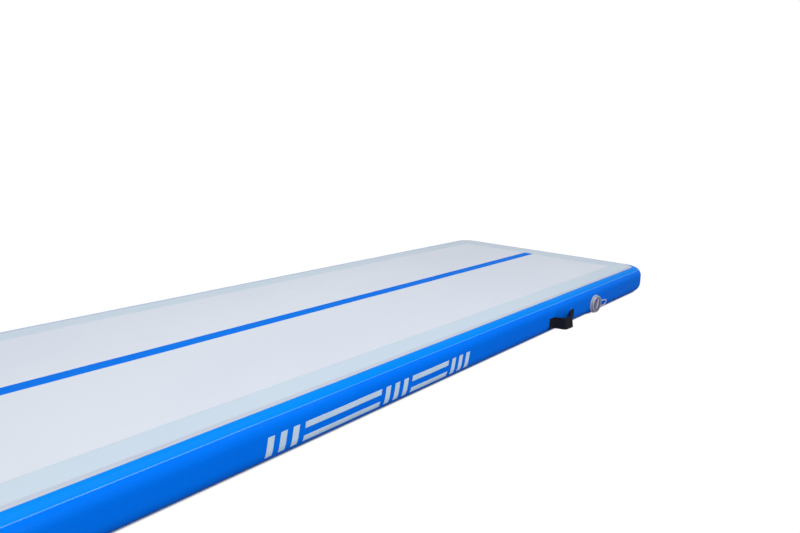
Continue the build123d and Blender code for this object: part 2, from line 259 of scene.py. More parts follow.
def plan(x, y):
    """A point's outward direction in plan and how far it lies in from the side."""
    dx = x - np.clip(x, -CORE_X, CORE_X)
    dy = y - np.clip(y, -CORE_Y, CORE_Y)
    reach = np.hypot(dx, dy)
    safe = np.maximum(reach, 1e-9)
    return dx / safe, dy / safe, CORNER_R - reach


def settle(points, depth=0.0):
    """Moves points of the plain form to where the inflated mat has them.

    depth is how far in from the outermost skin each point lies.
    """
    s = settings("skins")
    x, y, z = (points[..., i] for i in range(3))
    nx, ny, inset = plan(x, y)
    level = z / HEIGHT
    sideways = smooth(1 - inset / SWELL_REACH)
    off_floor = smooth((level - 0.04) / 0.30)
    bow = np.sin(math.pi * np.clip(level, 0, 1)) ** 1.5
    out = sideways * (s.crown * bow + s.side_wave * off_floor * waves(x, y, SIDE_WAVES))
    up = s.top_wave * smooth((level - 0.45) / 0.55) * waves(x, y, TOP_WAVES)

    turn = 4 * (nx * ny) ** 2 * (nx * nx + ny * ny > 0.5)
    angle = np.arctan2(ny, nx)
    ridge = 0.5 + 0.5 * np.cos(PUCKERS * angle + PUCKER_DRIFT * np.sin(6 * angle))
    on_roll = smooth((level - 0.62) / 0.25) * smooth((ROLL_R - inset) / (12 * MM))
    fold = s.pucker * smooth(2 * turn) * ridge * on_roll
    out = out + 0.75 * fold
    up = up + 0.55 * fold

    moved = np.stack([x + nx * out, y + ny * out, z + up], axis=-1)
    from_valve = np.hypot(x - VALVE_X, z - VALVE_Z)
    flat = smooth((SEAT_END - from_valve) / (SEAT_END - SEAT_FLAT)) * (y < -CORE_Y)
    seat = -HALF_W - SEAT_RISE + depth
    moved[..., 1] = moved[..., 1] * (1 - flat) + seat * flat
    moved[..., 2] = moved[..., 2] * (1 - flat) + z * flat
    return moved


def wall_inset(z):
    """How far the roll takes the wall in from its flat, and the roll's slope there."""
    low = np.clip(ROLL_R - z, 0, ROLL_R)
    high = np.clip(z - (HEIGHT - ROLL_R), 0, ROLL_R)
    off = np.maximum(low, high)
    root = np.sqrt(ROLL_R ** 2 - off ** 2)
    return ROLL_R - root, (high - low) / ROLL_R, root / ROLL_R


def on_wall(x, z, rise, side):
    """Points on a long wall, lifted off it by rise, in the plain form."""
    inset, lean, upright = wall_inset(z)
    y = side * (HALF_W - inset + rise * upright)
    return np.stack([x + 0 * y, y, z + rise * lean], axis=-1)


def full_turn(count):
    return np.linspace(0, 2 * math.pi, count, endpoint=False)


def add_object(name, data):
    """A new object of a mesh, a camera or a light, in the scene."""
    made = bpy.data.objects.new(name, data)
    bpy.context.scene.collection.objects.link(made)
    return made


def new_mesh(name, points, faces=(), edges=()):
    mesh = bpy.data.meshes.new(name)
    mesh.from_pydata(points, edges, faces)
    return mesh


def reshape(mesh, edit=None):
    """Makes an edit to a mesh, if there is one, and turns its normals outward."""
    shape = bmesh.new()
    shape.from_mesh(mesh)
    if edit:
        edit(shape)
    bmesh.ops.recalc_face_normals(shape, faces=shape.faces)
    shape.to_mesh(mesh)
    shape.free()


def dressed(name, mesh, material, sharp, slot=None):
    """An object of a mesh, smooth but for the edges that are sharper than an angle."""
    mesh.polygons.foreach_set("use_smooth", [True] * len(mesh.polygons))
    mesh.set_sharp_from_angle(angle=math.radians(sharp))
    mesh.materials.append(material)
    piece = add_object(name, mesh)
    if slot:
        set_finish(piece, slot)
    return piece


def finish_mesh(name, points, faces, material, uv=None, sharp=35.0, slot=None):
    """An object with outward normals from points and faces."""
    mesh = new_mesh(name, points.tolist(), faces.tolist())
    if uv is not None:
        layer = mesh.uv_layers.new(name="UVMap")
        corners = np.empty(len(mesh.loops), dtype=np.int32)
        mesh.loops.foreach_get("vertex_index", corners)
        layer.data.foreach_set("uv", uv[corners].astype(np.float32).ravel())
    reshape(mesh)
    return dressed(name, mesh, material, sharp, slot)


def slab(name, outer, inner, uv, material, slot):
    """A closed sheet between two grids of points, with a UV map in metres."""
    points = np.concatenate([outer.reshape(-1, 3), inner.reshape(-1, 3)])
    uv = uv.reshape(-1, 2)
    return finish_mesh(name, points, slab_faces(*outer.shape[:2]), material,
                       np.concatenate([uv, uv]), slot=slot)


def quads(a, b, c, d):
    return np.stack([a, b, c, d], axis=-1).reshape(-1, 4)


def slab_faces(rows, columns, start=0):
    """Faces of a closed sheet whose outer grid of points is followed by its inner grid."""
    outer = start + np.arange(rows * columns).reshape(rows, columns)
    inner = outer + rows * columns
    faces = [quads(outer[:-1, :-1], outer[1:, :-1], outer[1:, 1:], outer[:-1, 1:]),
             quads(inner[:-1, :-1], inner[:-1, 1:], inner[1:, 1:], inner[1:, :-1])]
    rim = np.concatenate([outer[0, :], outer[1:, -1], outer[-1, -2::-1], outer[-2:0:-1, 0]])
    after = np.roll(rim, -1)
    shift = rows * columns
    faces.append(quads(rim, after, after + shift, rim + shift))
    return np.concatenate(faces)


def tube_faces(rings, sides, closed):
    """Faces over rings of points and the rings' indices. An open tube's ends stay open."""
    at = np.arange(rings * sides).reshape(rings, sides)
    along = np.roll(at, -1, axis=0) if closed else at[1:]
    here = at if closed else at[:-1]
    faces = quads(here, along, np.roll(along, -1, axis=1), np.roll(here, -1, axis=1))
    return faces, at


def capped(rings):
    """Points and faces of a shell over rings of points, with a face over each end."""
    faces, at = tube_faces(len(rings), len(rings[0]), closed=False)
    return (np.concatenate(rings).tolist(),
            faces.tolist() + [at[0].tolist(), at[-1][::-1].tolist()])


def merged(name, points, faces, material, sharp):
    """An object of a closed shell whose doubled points are merged."""
    mesh = new_mesh(name, points, faces)
    reshape(mesh, lambda shape: bmesh.ops.remove_doubles(shape, verts=shape.verts, dist=1e-6))
    return dressed(name, mesh, material, sharp)


def spaced(low, high, step):
    return np.linspace(low, high, max(2, int(round((high - low) / step)) + 1))


def framed(low, high, near, edge, step):
    """Spaced positions with two more close to each end."""
    return np.concatenate([[low, low + near], spaced(low + edge, high - edge, step),
                           [high - near, high]])


def run_of(path):
    """The distance along a flat path to each of its points."""
    return np.concatenate([[0], np.cumsum(np.linalg.norm(np.diff(path, axis=0), axis=1))])


def normals_of(path):
    """Unit vectors a quarter turn from a flat path's direction."""
    tangent = np.gradient(path, axis=0)
    tangent /= np.linalg.norm(tangent, axis=1)[:, None]
    return np.stack([-tangent[:, 1], tangent[:, 0]], axis=-1)


def eased(distance, thickness, radius):
    """How far a sheet's outer face drops near its edge."""
    t = np.clip(1 - distance / radius, 0, 1)
    return 0.75 * thickness * (1 - np.sqrt(1 - t * t))


def edge_columns(width, radius, step):
    """Positions across a sheet, close together at its two edges."""
    fine = radius * EDGE_STEPS
    middle = spaced(radius, width - radius, step)[1:-1]
    return np.concatenate([fine, middle, width - fine[::-1]])


def baked(piece, name):
    """The evaluated mesh of a piece as a new plain object, in place of the piece."""
    graph = bpy.context.evaluated_depsgraph_get()
    mesh = bpy.data.meshes.new_from_object(piece.evaluated_get(graph))
    mesh.name = name
    old_slot = piece.get("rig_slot")
    bpy.data.objects.remove(piece)
    result = add_object(name, mesh)
    if old_slot:
        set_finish(result, old_slot)
    return result


# ================================================================ node tools

def once(shelf, name=None):
    """Has a group or a material made at its maker's first call and found by name after it."""
    def wrap(make):
        def found(*values, **named):
            return getattr(bpy.data, shelf).get(name or values[0]) or make(*values, **named)
        return found
    return wrap


def feed(tree, node, inputs):
    """Sets a node's inputs, each to a value or to another node's output."""
    for key, value in inputs.items():
        if isinstance(value, bpy.types.NodeSocket):
            tree.links.new(value, node.inputs[key])
        else:
            node.inputs[key].default_value = value


def spelled(values):
    """Keywords as the names of sockets, with a space for each underscore."""
    return {key.replace("_", " "): value for key, value in values.items()}


def put(tree, kind, inputs=None, **values):
    """A node with its settings and inputs."""
    made = tree.nodes.new(kind)
    for key, value in values.items():
        setattr(made, key, value)
    feed(tree, made, inputs or {})
    return made


def sums(tree, operation, first, second=0.0, third=None):
    inputs = {0: first, 1: second}
    if third is not None:
        inputs[2] = third
    return put(tree, "ShaderNodeMath", inputs, operation=operation).outputs[0]


def ranged(tree, value, low, high, to_low=0.0, to_high=1.0, kind="SMOOTHSTEP"):
    inputs = {"Value": value, "From Min": low, "From Max": high,
              "To Min": to_low, "To Max": to_high}
    return put(tree, "ShaderNodeMapRange", inputs, interpolation_type=kind).outputs["Result"]


def mixed(tree, share, first, second):
    inputs = {0: share, 6: first, 7: second}
    return put(tree, "ShaderNodeMix", inputs, data_type="RGBA").outputs[2]


def noise(tree, where, scale, detail=2.0, rough=0.5):
    inputs = {"Vector": where, "Scale": scale, "Detail": detail, "Roughness": rough}
    return put(tree, "ShaderNodeTexNoise", inputs).outputs["Fac"]


def new_group(name, kind, inputs, outputs):
    """A node group with named sockets, its given values and its outputs' node."""
    tree = bpy.data.node_groups.new(name, kind)
    for label, socket_type, default in inputs:
        socket = tree.interface.new_socket(label, in_out="INPUT", socket_type=socket_type)
        if default is not None:
            socket.default_value = default
    for label, socket_type in outputs:
        tree.interface.new_socket(label, in_out="OUTPUT", socket_type=socket_type)
    return tree, tree.nodes.new("NodeGroupInput").outputs, tree.nodes.new("NodeGroupOutput")


NUMBER, TINT = "NodeSocketFloat", "NodeSocketColor"


@once("node_groups", "coating")
def coating_group():
    """Fine grain, broad patches of shade and uneven gloss, as on coated or moulded surfaces."""
    tree, given, result = new_group(
        "coating", "ShaderNodeTree",
        [("Colour", TINT, None), ("Patch Colour", TINT, None), ("Patches", NUMBER, 3.0),
         ("Grain", NUMBER, 1200.0), ("Gloss", NUMBER, 0.3), ("Matt", NUMBER, 0.45)],
        [("Colour", TINT), ("Roughness", NUMBER), ("Height", NUMBER)])
    where = put(tree, "ShaderNodeTexCoord").outputs["Object"]
    broad = noise(tree, where, given["Patches"], 3.0, 0.55)
    patch = ranged(tree, broad, 0.34, 0.66)
    fine = noise(tree, where, given["Grain"], 2.0, 0.6)
    smear = noise(tree, where, sums(tree, "MULTIPLY", given["Patches"], 9.0), 4.0, 0.6)
    tint = mixed(tree, patch, given["Colour"], given["Patch Colour"])
    uneven = ranged(tree, smear, 0.3, 0.7)
    spread = sums(tree, "SUBTRACT", given["Matt"], given["Gloss"])
    rough = sums(tree, "MULTIPLY_ADD", uneven, spread, given["Gloss"])
    feed(tree, result, {"Colour": tint, "Roughness": rough, "Height": fine})
    return tree


@once("node_groups", "floor_wear")
def contact_darkening_group():
    """Painted shade on the lowest part of a side: a dark navy that stands in for the contact
    shadow along the floor.
    """
    tree, given, result = new_group(
        "floor_wear", "ShaderNodeTree",
        [("Colour", TINT, None), ("Grime", TINT, None), ("Reach", NUMBER, 0.01)],
        [("Colour", TINT)])
    where = put(tree, "ShaderNodeTexCoord").outputs["Object"]
    z = put(tree, "ShaderNodeSeparateXYZ", {0: where}).outputs["Z"]
    edge = sums(tree, "MULTIPLY", given["Reach"], 0.75)
    # The painted shade covers the colour more towards the floor, a little unevenly.
    share = ranged(tree, z, given["Reach"], edge)
    spots = ranged(tree, noise(tree, where, 40.0, 4.0, 0.7), 0.25, 0.6, 0.75, 1.0)
    darkened = sums(tree, "MULTIPLY", share, spots)
    tint = mixed(tree, darkened, given["Colour"], given["Grime"])
    feed(tree, result, {"Colour": tint})
    return tree


@once("node_groups", "cloth_ground")
def cloth_ground_group():
    """The base cloth's yarns showing through a coating, square to X and Y or X and Z."""
    tree, given, result = new_group(
        "cloth_ground", "ShaderNodeTree",
        [("Pitch", NUMBER, 0.0012), ("Upright", NUMBER, 0.0)],
        [("Height", NUMBER)])
    where = put(tree, "ShaderNodeTexCoord").outputs["Object"]
    parts = put(tree, "ShaderNodeSeparateXYZ", {0: where})
    across = put(tree, "ShaderNodeMix", {0: given["Upright"], 2: parts.outputs["Y"],
                                         3: parts.outputs["Z"]}, data_type="FLOAT")
    heights = []
    for value in (parts.outputs["X"], across.outputs[0]):
        turn = sums(tree, "DIVIDE", value, given["Pitch"])
        heights.append(sums(tree, "SINE", sums(tree, "MULTIPLY", turn, 2 * math.pi)))
    ground = sums(tree, "MULTIPLY", heights[0], heights[1])
    feed(tree, result, {"Height": ground})
    return tree


@once("node_groups", "weave")
def weave_group():
    """Webbing's picks, from a UV map in metres along and across the strap."""
    tree, given, result = new_group(
        "weave", "ShaderNodeTree",
        [("Rib Pitch", NUMBER, 0.0024), ("Pick Pitch", NUMBER, 0.0011)],
        [("Height", NUMBER), ("Valley", NUMBER)])
    where = put(tree, "ShaderNodeTexCoord").outputs["UV"]
    parts = put(tree, "ShaderNodeSeparateXYZ", {0: where})
    rib = sums(tree, "DIVIDE", parts.outputs["Y"], given["Rib Pitch"])
    shift = sums(tree, "MULTIPLY", sums(tree, "FLOOR", rib), 0.5)
    pick = sums(tree, "DIVIDE", parts.outputs["X"], given["Pick Pitch"])
    pick = sums(tree, "ADD", pick, shift)
    crest, row = (
        sums(tree, "ABSOLUTE", sums(tree, "SINE", sums(tree, "MULTIPLY", turn, math.pi)))
        for turn in (pick, rib))
    height = sums(tree, "MULTIPLY", sums(tree, "POWER", crest, 0.6),
                  sums(tree, "POWER", row, 0.5))
    feed(tree, result, {"Height": height, "Valley": sums(tree, "SUBTRACT", 1.0, height)})
    return tree


def rgba(tint, factor=1.0):
    return (tint[0] * factor, tint[1] * factor, tint[2] * factor, 1.0)


def group_node(tree, group, **inputs):
    made = put(tree, "ShaderNodeGroup", node_tree=group)
    feed(tree, made, spelled(inputs))
    return made.outputs


def blank_material(name, **values):
    """A material with only its shader, whose plain values are set on its own sockets."""
    material = bpy.data.materials.new(name)
    material.use_nodes = True
    tree = material.node_tree
    shader = tree.nodes["Principled BSDF"]
    feed(tree, shader, spelled(values))
    return material, tree, shader


def bump(tree, shader, height, distance, strength=1.0, under=None):
    inputs = {"Height": height, "Distance": distance, "Strength": strength}
    if under is not None:
        inputs["Normal"] = under
    made = put(tree, "ShaderNodeBump", inputs).outputs["Normal"]
    feed(tree, shader, {"Normal": made})
    return made


@once("materials")
def coated(name, tint, patch, patches=2.5, grain=900.0, gloss=0.3, matt=0.4, relief=0.03 * MM,
           grime=None, cloth=None, **values):
    """A coated fabric or a moulded plastic.

    grime is the colour of a painted shade along the floor, and how high it reaches.
    cloth is the base cloth's pitch, whether it stands upright, and its relief.
    """
    material, tree, shader = blank_material(name, **values)
    skin = group_node(tree, coating_group(), Colour=rgba(tint), Patch_Colour=rgba(patch),
                      Patches=patches, Grain=grain, Gloss=gloss, Matt=matt)
    shown = skin["Colour"]
    if grime:
        shown = group_node(tree, contact_darkening_group(), Colour=shown, Grime=rgba(grime[0]),
                           Reach=grime[1])["Colour"]
    feed(tree, shader, {"Base Color": shown, "Roughness": skin["Roughness"]})
    under = bump(tree, shader, skin["Height"], relief)
    if cloth:
        ground = group_node(tree, cloth_ground_group(), Pitch=cloth[0], Upright=cloth[1])
        bump(tree, shader, ground["Height"], cloth[2], 1.0, under)
    return material


# ---------------------------------------------------------------- the mat's own finishes

def scaled(tint, *factors):
    return tuple(min(1.0, t * f) for t, f in zip(tint, factors))


def side_coating(name, tint):
    """The blue coating of the sides, darkened along the floor by a painted shade."""
    return coated(name, tint, scaled(tint, 1.0, 0.93, 0.98), patches=2.2, grain=1400.0,
                  gloss=0.24, matt=0.36, relief=0.008 * MM, grime=PAINTED_SHADOW,
                  cloth=(1.1 * MM, 1.0, 0.006 * MM), Specular_IOR_Level=0.02,
                  Coat_Weight=0.007, Coat_Roughness=0.1)


def wall_finish():
    # The side band's blue made lighter and more cyan: painted light for the upper roll.
    return side_coating("wall_coating", settings("colours").wall)


def band_finish():
    return side_coating("band_coating", settings("colours").band)


def tinted(name, key, factors, **values):
    """A coating whose colour is a setting, with patches that are factors of that colour."""
    tint = getattr(settings("colours"), key)
    return coated(name, tint, scaled(tint, *factors), **values)


def weld_glint_finish():
    # Lighter than the band for a painted highlight along the lip; its gloss is real. It has the
    # same painted shade along the floor as the sides.
    return tinted("weld_bead", "weld", (0.6, 0.85, 1.0), patches=5.0, gloss=0.12, matt=0.22,
                  relief=0.02 * MM, grime=PAINTED_SHADOW, Specular_IOR_Level=0.55)


def top_finish():
    return tinted("top_coating", "top", (0.965, 0.97, 0.985), patches=1.6, grain=1500.0,
                  gloss=0.42, matt=0.58, relief=0.012 * MM, cloth=(1.3 * MM, 0.0, 0.01 * MM),
                  Specular_IOR_Level=0.3)


def stripe_finish():
    return tinted("stripe_coating", "stripe", (1.0, 0.93, 0.97), patches=4.0, grain=1500.0,
                  gloss=0.36, matt=0.5, relief=0.01 * MM, cloth=(1.3 * MM, 0.0, 0.008 * MM),
                  Specular_IOR_Level=0.012)


def film_finish():
    return tinted("print_coating", "film", (0.9, 0.93, 0.97), patches=26.0, grain=1800.0,
                  gloss=0.35, matt=0.5, relief=0.015 * MM, Specular_IOR_Level=0.12)


def base_finish():
    return coated("base_coating", (0.02, 0.13, 0.62), (0.02, 0.11, 0.55), patches=3.0,
                  grain=1500.0, gloss=0.45, matt=0.6, cloth=(1.3 * MM, 0.0, 0.02 * MM))


def inner_finish():
    return coated("inner_coating", (0.3, 0.33, 0.38), (0.27, 0.3, 0.36), gloss=0.5, matt=0.65)


@once("materials", "border_coating")
def border_finish():
    """Border tape, with a greyer strip along its outer edge, painted for how light falls where the
    tape bends down over the edge, and dark lines of painted shade in its fine creases.
    """
    c = settings("colours")
    material, tree, shader = blank_material("border_coating", Specular_IOR_Level=0.4)
    skin = group_node(tree, coating_group(), Colour=rgba(c.border),
                      Patch_Colour=rgba(scaled(c.border, 0.96, 0.98, 1.0)), Patches=5.0,
                      Grain=1500.0, Gloss=0.28, Matt=0.42)
    where = put(tree, "ShaderNodeTexCoord").outputs["UV"]
    from_edge = put(tree, "ShaderNodeSeparateXYZ", {0: where}).outputs["Y"]
    stretch = put(tree, "ShaderNodeMapping", {"Vector": where, "Scale": (6.0, 260.0, 1.0)})
    drift = noise(tree, stretch.outputs["Vector"], 1.0, 3.0, 0.6)
    strip = ranged(tree, from_edge, 15 * MM, 11 * MM)
    lines = sums(tree, "MULTIPLY", ranged(tree, drift, 0.60, 0.68), strip)
    # The greyer strip is painted light and shade of the tape bending down over the edge.
    tint = mixed(tree, strip, skin["Colour"], rgba(c.border_edge))
    # Dark lines of painted shade, as in creases; the top tapes' shape has real creases here too.
    tint = mixed(tree, sums(tree, "MULTIPLY", lines, 0.55), tint, rgba((0.27, 0.31, 0.38)))
    feed(tree, shader, {"Base Color": tint, "Roughness": skin["Roughness"]})
    under = bump(tree, shader, skin["Height"], 0.02 * MM)
    bump(tree, shader, sums(tree, "MULTIPLY", drift, strip), 0.4 * MM, 0.6, under)
    return material


@once("materials", "webbing_weave")
def webbing_finish():
    c = settings("colours")
    material, tree, shader = blank_material(
        "webbing_weave", Specular_IOR_Level=0.18, Sheen_Weight=0.05, Sheen_Roughness=0.4)
    weave = group_node(tree, weave_group(), Rib_Pitch=settings("handles").rib_pitch,
                       Pick_Pitch=1.1 * MM)
    skin = group_node(tree, coating_group(), Colour=rgba(c.webbing, 1.25),
                      Patch_Colour=rgba(c.webbing), Patches=60.0, Grain=5000.0,
                      Gloss=0.5, Matt=0.7)
    # The weave's valleys are painted darker: painted shade in its recesses.
    tint = mixed(tree, weave["Valley"], skin["Colour"], rgba(c.webbing, 0.35))
    feed(tree, shader, {"Base Color": tint, "Roughness": skin["Roughness"]})
    bump(tree, shader, weave["Height"], 0.22 * MM)
    return material


def thread_finish():
    return coated("bonded_thread", (0.02, 0.022, 0.03), (0.012, 0.013, 0.02), patches=90.0,
                  grain=4000.0, gloss=0.35, matt=0.55, relief=0.05 * MM)


def yarn_finish():
    return coated("polyester_yarn", (0.85, 0.85, 0.83), (0.78, 0.79, 0.78), patches=30.0,
                  grain=3000.0, gloss=0.5, matt=0.7, relief=0.1 * MM)


def moulded(name, tint, gloss=0.32, matt=0.48, **values):
    return coated(name, tint, scaled(tint, 0.9, 0.9, 0.92), patches=45.0, grain=2600.0,
                  gloss=gloss, matt=matt, relief=0.02 * MM, **values)


def slot_finish(slot):
    """The finish for a node that the frame gives this material slot."""
    c = settings("colours")
    makers = {
        "top_fabric": top_finish, "base_fabric": base_finish, "wall_pvc": band_finish,
        "border_pvc": border_finish, "stripe_pvc": stripe_finish, "inner_pvc": inner_finish,
        "print_film": film_finish, "yarn": yarn_finish, "webbing": webbing_finish,
        "thread": thread_finish,
        "valve_plastic": lambda: moulded("valve_moulding", c.valve),
        "cap_plastic": lambda: moulded("cap_moulding", c.cap),
        "cap_arcs": lambda: moulded("cap_arc_moulding", c.cap_mark),
        "tether_plastic": lambda: moulded("tether_moulding", (0.70, 0.76, 0.84)),
        "stem_plastic": lambda: moulded("stem_moulding", (0.05, 0.05, 0.06)),
        "seal_rubber": lambda: moulded("seal_moulding", (0.02, 0.02, 0.02), 0.6, 0.8),
        "spring_steel": lambda: moulded("drawn_wire", (0.62, 0.62, 0.6), 0.25, 0.4, Metallic=1.0),
    }
    return makers[slot]()


# ================================================================ skins

def stations():
    """Points on the core's edge and outward directions, once round the mat."""
    s = settings("skins")
    near_valve = 52 * MM
    fine = np.arange(VALVE_X - near_valve, VALVE_X + near_valve, 3 * MM)
    along_x = spaced(-CORE_X, CORE_X, s.step)
    coarse = along_x[np.abs(along_x - VALVE_X) > near_valve + 2 * MM]
    front_x = np.concatenate([coarse, fine])
    front_x.sort()
    along_y = spaced(-CORE_Y, CORE_Y, s.step)
    turns = np.linspace(0, math.pi / 2, 46)[1:-1]
    bases, directions = [], []

    def straight(xs, ys, direction):
        bases.extend(np.broadcast(xs, ys))
        directions.extend([direction] * (len(bases) - len(directions)))

    def corner(x, y, start):
        bases.extend([(x, y)] * len(turns))
        directions.extend((math.cos(start + turn), math.sin(start + turn)) for turn in turns)

    straight(front_x, -CORE_Y, (0, -1))
    corner(CORE_X, -CORE_Y, -math.pi / 2)
    straight(CORE_X, along_y, (1, 0))
    corner(CORE_X, CORE_Y, 0)
    straight(along_x[::-1], CORE_Y, (0, 1))
    corner(-CORE_X, CORE_Y, math.pi / 2)
    straight(-CORE_X, along_y[::-1], (-1, 0))
    corner(-CORE_X, -CORE_Y, math.pi)
    return np.array(bases), np.array(directions)


def face_of_layer(depth, lap, arc_steps, flat_steps, lap_steps):
    """Inset and height down one face of a wrapped layer, from the top lap to the bottom one."""
    radius = ROLL_R - depth
    turns = np.linspace(0, math.pi / 2, arc_steps + 1)
    arc_in = ROLL_R - radius * np.sin(turns)
    arc_up = HEIGHT - ROLL_R + radius * np.cos(turns)
    lap_in = np.linspace(lap, ROLL_R, lap_steps + 1)[:-1]
    flat_z = np.linspace(HEIGHT / 2, HEIGHT - ROLL_R, flat_steps + 1)[::-1][1:]
    insets = np.concatenate([lap_in, arc_in, np.full(len(flat_z), depth)])
    heights = np.concatenate([np.full(len(lap_in), HEIGHT - depth), arc_up, flat_z])
    return (np.concatenate([insets, insets[-2::-1]]),
            np.concatenate([heights, HEIGHT - heights[-2::-1]]))


def ring_skin(name, insets, heights, depths, material, slot, lift=None, weld=()):
    """A closed section carried once round the mat, settled, with the valve's hole cut.

    weld lists the section's faces that have the welded lip's finish, whose lighter
    colour is a painted highlight.
    """
    bases, directions = stations()
    reach = CORNER_R - insets
    flat = bases[:, None, :] + directions[:, None, :] * reach[None, :, None]
    z = np.broadcast_to(heights, flat.shape[:2])
    points = np.concatenate([flat, z[..., None]], axis=-1)
    if lift is not None:
        amount = lift[None, :] * (0.35 + 0.9 * waves(points[..., 0], points[..., 1], LIP_WAVES))
        slope = (heights - HEIGHT / 2) / (HEIGHT / 2)
        points[..., :2] += directions[:, None, :] * (amount * 0.75)[..., None]
        points[..., 2] += amount * 0.65 * slope[None, :]
    depth = np.broadcast_to(depths, flat.shape[:2])
    points = settle(points, depth)
    faces, _ = tube_faces(len(bases), len(insets), closed=True)
    piece = finish_mesh(name, points.reshape(-1, 3), faces, material, slot=slot)
    if len(weld):
        piece.data.materials.append(weld_glint_finish())
        welded = np.isin(np.arange(len(faces)) % len(insets), weld).astype(np.int32)
        piece.data.polygons.foreach_set("material_index", welded)
    return cut_bore(piece, name)


def cut_bore(piece, name):
    """Cuts the valve's hole through a skin."""
    turns = full_turn(64)
    rings = [np.stack([VALVE_X + VALVE_BORE * np.cos(turns), np.full(len(turns), y),
                       VALVE_Z + VALVE_BORE * np.sin(turns)], axis=-1)
             for y in (-HALF_W - 10 * MM, -HALF_W + 60 * MM)]
    mesh = new_mesh("bore", *capped(rings))
    reshape(mesh)
    drill = add_object("bore", mesh)
    cut = piece.modifiers.new("bore", "BOOLEAN")
    cut.operation, cut.solver, cut.object = "DIFFERENCE", "MANIFOLD", drill
    result = baked(piece, name)
    bpy.data.objects.remove(drill)
    result.data.set_sharp_from_angle(angle=math.radians(35))
    return result


def wrapped_layer(name, depth, thickness, lap, material, slot, steps):
    """A layer that wraps the whole side and laps in over both panels."""
    outer_in, outer_z = face_of_layer(depth, lap, *steps)
    inner_in, inner_z = face_of_layer(depth + thickness, lap, *(max(2, n * 2 // 3) for n in steps))
    insets = np.concatenate([outer_in, inner_in[::-1]])
    heights = np.concatenate([outer_z, inner_z[::-1]])
    depths = np.concatenate([np.full(len(outer_in), depth),
                             np.full(len(inner_in), depth + thickness)])
    return ring_skin(name, insets, heights, depths, material, slot)


def side_band_skin():
    """The outer band, with a welded lip along its upper and lower edges, coloured lighter for a
    painted highlight.
    """
    s = settings("skins")
    top = BAND_TOP - (HEIGHT - ROLL_R)

    def half_face(depth, lip_rows, arc_steps):
        radius = ROLL_R - depth
        first = math.acos(top / radius)
        turns = np.concatenate([first + lip_rows / radius,
                                np.linspace(first + 4 * MM / radius, math.pi / 2, arc_steps)])
        arc = np.stack([ROLL_R - radius * np.sin(turns),
                        HEIGHT - ROLL_R + radius * np.cos(turns)], axis=-1)
        flat_z = np.linspace(HEIGHT - ROLL_R, HEIGHT / 2, 5)[1:]
        flat = np.stack([np.full(len(flat_z), depth), flat_z], axis=-1)
        return np.concatenate([arc, flat])

    def both_halves(half):
        other = half[-2::-1].copy()
        other[:, 1] = HEIGHT - other[:, 1]
        return np.concatenate([half, other])

    rows = np.array([0.0, 0.15, 0.5, 1.1, 2.0, 3.0]) * MM
    outer_half = half_face(0.0, rows, 9)
    sink = np.zeros(len(outer_half))
    sink[:3] = np.array([0.55, 0.2, 0.04]) * BAND_T
    outer_half[:, 0] += sink * 0.7
    outer_half[:, 1] -= sink * 0.7
    lift_half = np.zeros(len(outer_half))
    lift_half[:6] = np.array([0.3, 0.6, 0.9, 1.0, 0.75, 0.3]) * s.lip
    outer = both_halves(outer_half)
    inner = both_halves(half_face(BAND_T, np.array([0.0]), 6))[::-1]
    section = np.concatenate([outer, inner])
    lift = np.concatenate([lift_half, lift_half[-2::-1], np.zeros(len(inner))])
    depths = np.concatenate([np.zeros(len(outer)), np.full(len(inner), BAND_T)])
    last = len(outer) - 1
    # The lip's faces, which take the lighter colour of the painted highlight.
    weld = [0, 1, 2, last - 3, last - 2, last - 1, last, len(section) - 1]
    return ring_skin("side_band_skin", section[:, 0], section[:, 1], depths,
                     band_finish(), "wall_pvc", lift, weld)


def level_slab(name, x, y, from_edge, away, low, high, edge, creased, along, material, slot):
    """A sheet on the top or the underside over a grid of points, settled with the skins.

    away is each point's distance from the nearest edge. from_edge is its distance from the
    outer edge and along its place along that edge, which make the UV map.
    """
    drop = eased(away, high - low, edge)
    if creased:
        drift = waves(x, y, CREASE_WAVES) * 2.2
        folds = np.sin(from_edge / CREASE_PITCH * 2 * math.pi + 3 * drift) * 0.5 + 0.5
        reach = smooth((CREASE_REACH - from_edge) / (5 * MM)) * smooth(from_edge / (1.5 * MM))
        height = settings("skins").crease * (0.4 + 0.6 * waves(x, y, LIP_WAVES))
        drop = drop - height * folds * reach
    if high < HEIGHT / 2:
        shown, hidden = low + drop, high
    else:
        shown, hidden = high - drop, low
    outer, inner = (settle(np.stack([x, y, z + 0 * x], axis=-1)) for z in (shown, hidden))
    return slab(name, outer, inner, np.stack([along, from_edge], axis=-1), material, slot)


def level_sheet(node, radius, material, slot, step, columns, edge=1.0 * MM, creased=False,
                outer_side=0):
    """A sheet along X in the place of a flat node.

    radius rounds the corners on both long edges, or on the outer side's edge only. columns
    are positions across, from the low edge.
    """
    low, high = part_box(node)
    half_x = high.x
    if radius > 0:
        bend = np.linspace(0, math.pi / 2, 12)
        ends = half_x - radius + radius * np.sin(bend)
        middle = spaced(-(half_x - radius), half_x - radius, step)
        x = np.concatenate([-ends[::-1], middle[1:-1], ends])
        past = np.clip((np.abs(x) - (half_x - radius)) / radius, 0, 1)
        cut = radius * (1 - np.sqrt(1 - past * past))
    else:
        x = framed(-half_x, half_x, 0.3 * MM, edge, step)
        cut = np.zeros(len(x))
    y_low = (low.y + (cut if outer_side != 1 else 0 * cut))[:, None]
    y_high = (high.y - (cut if outer_side != -1 else 0 * cut))[:, None]
    y = y_low + (y_high - y_low) * (columns / (high.y - low.y))[None, :]
    xs = np.broadcast_to(x[:, None], y.shape)
    away = np.minimum(np.minimum(y - y_low, y_high - y), half_x - np.abs(xs))
    from_edge = (y_high - y) if outer_side == 1 else (y - y_low)
    return level_slab(node + "_skin", xs, y, from_edge, away, low.z, high.z, edge, creased,
                      xs, material, slot)


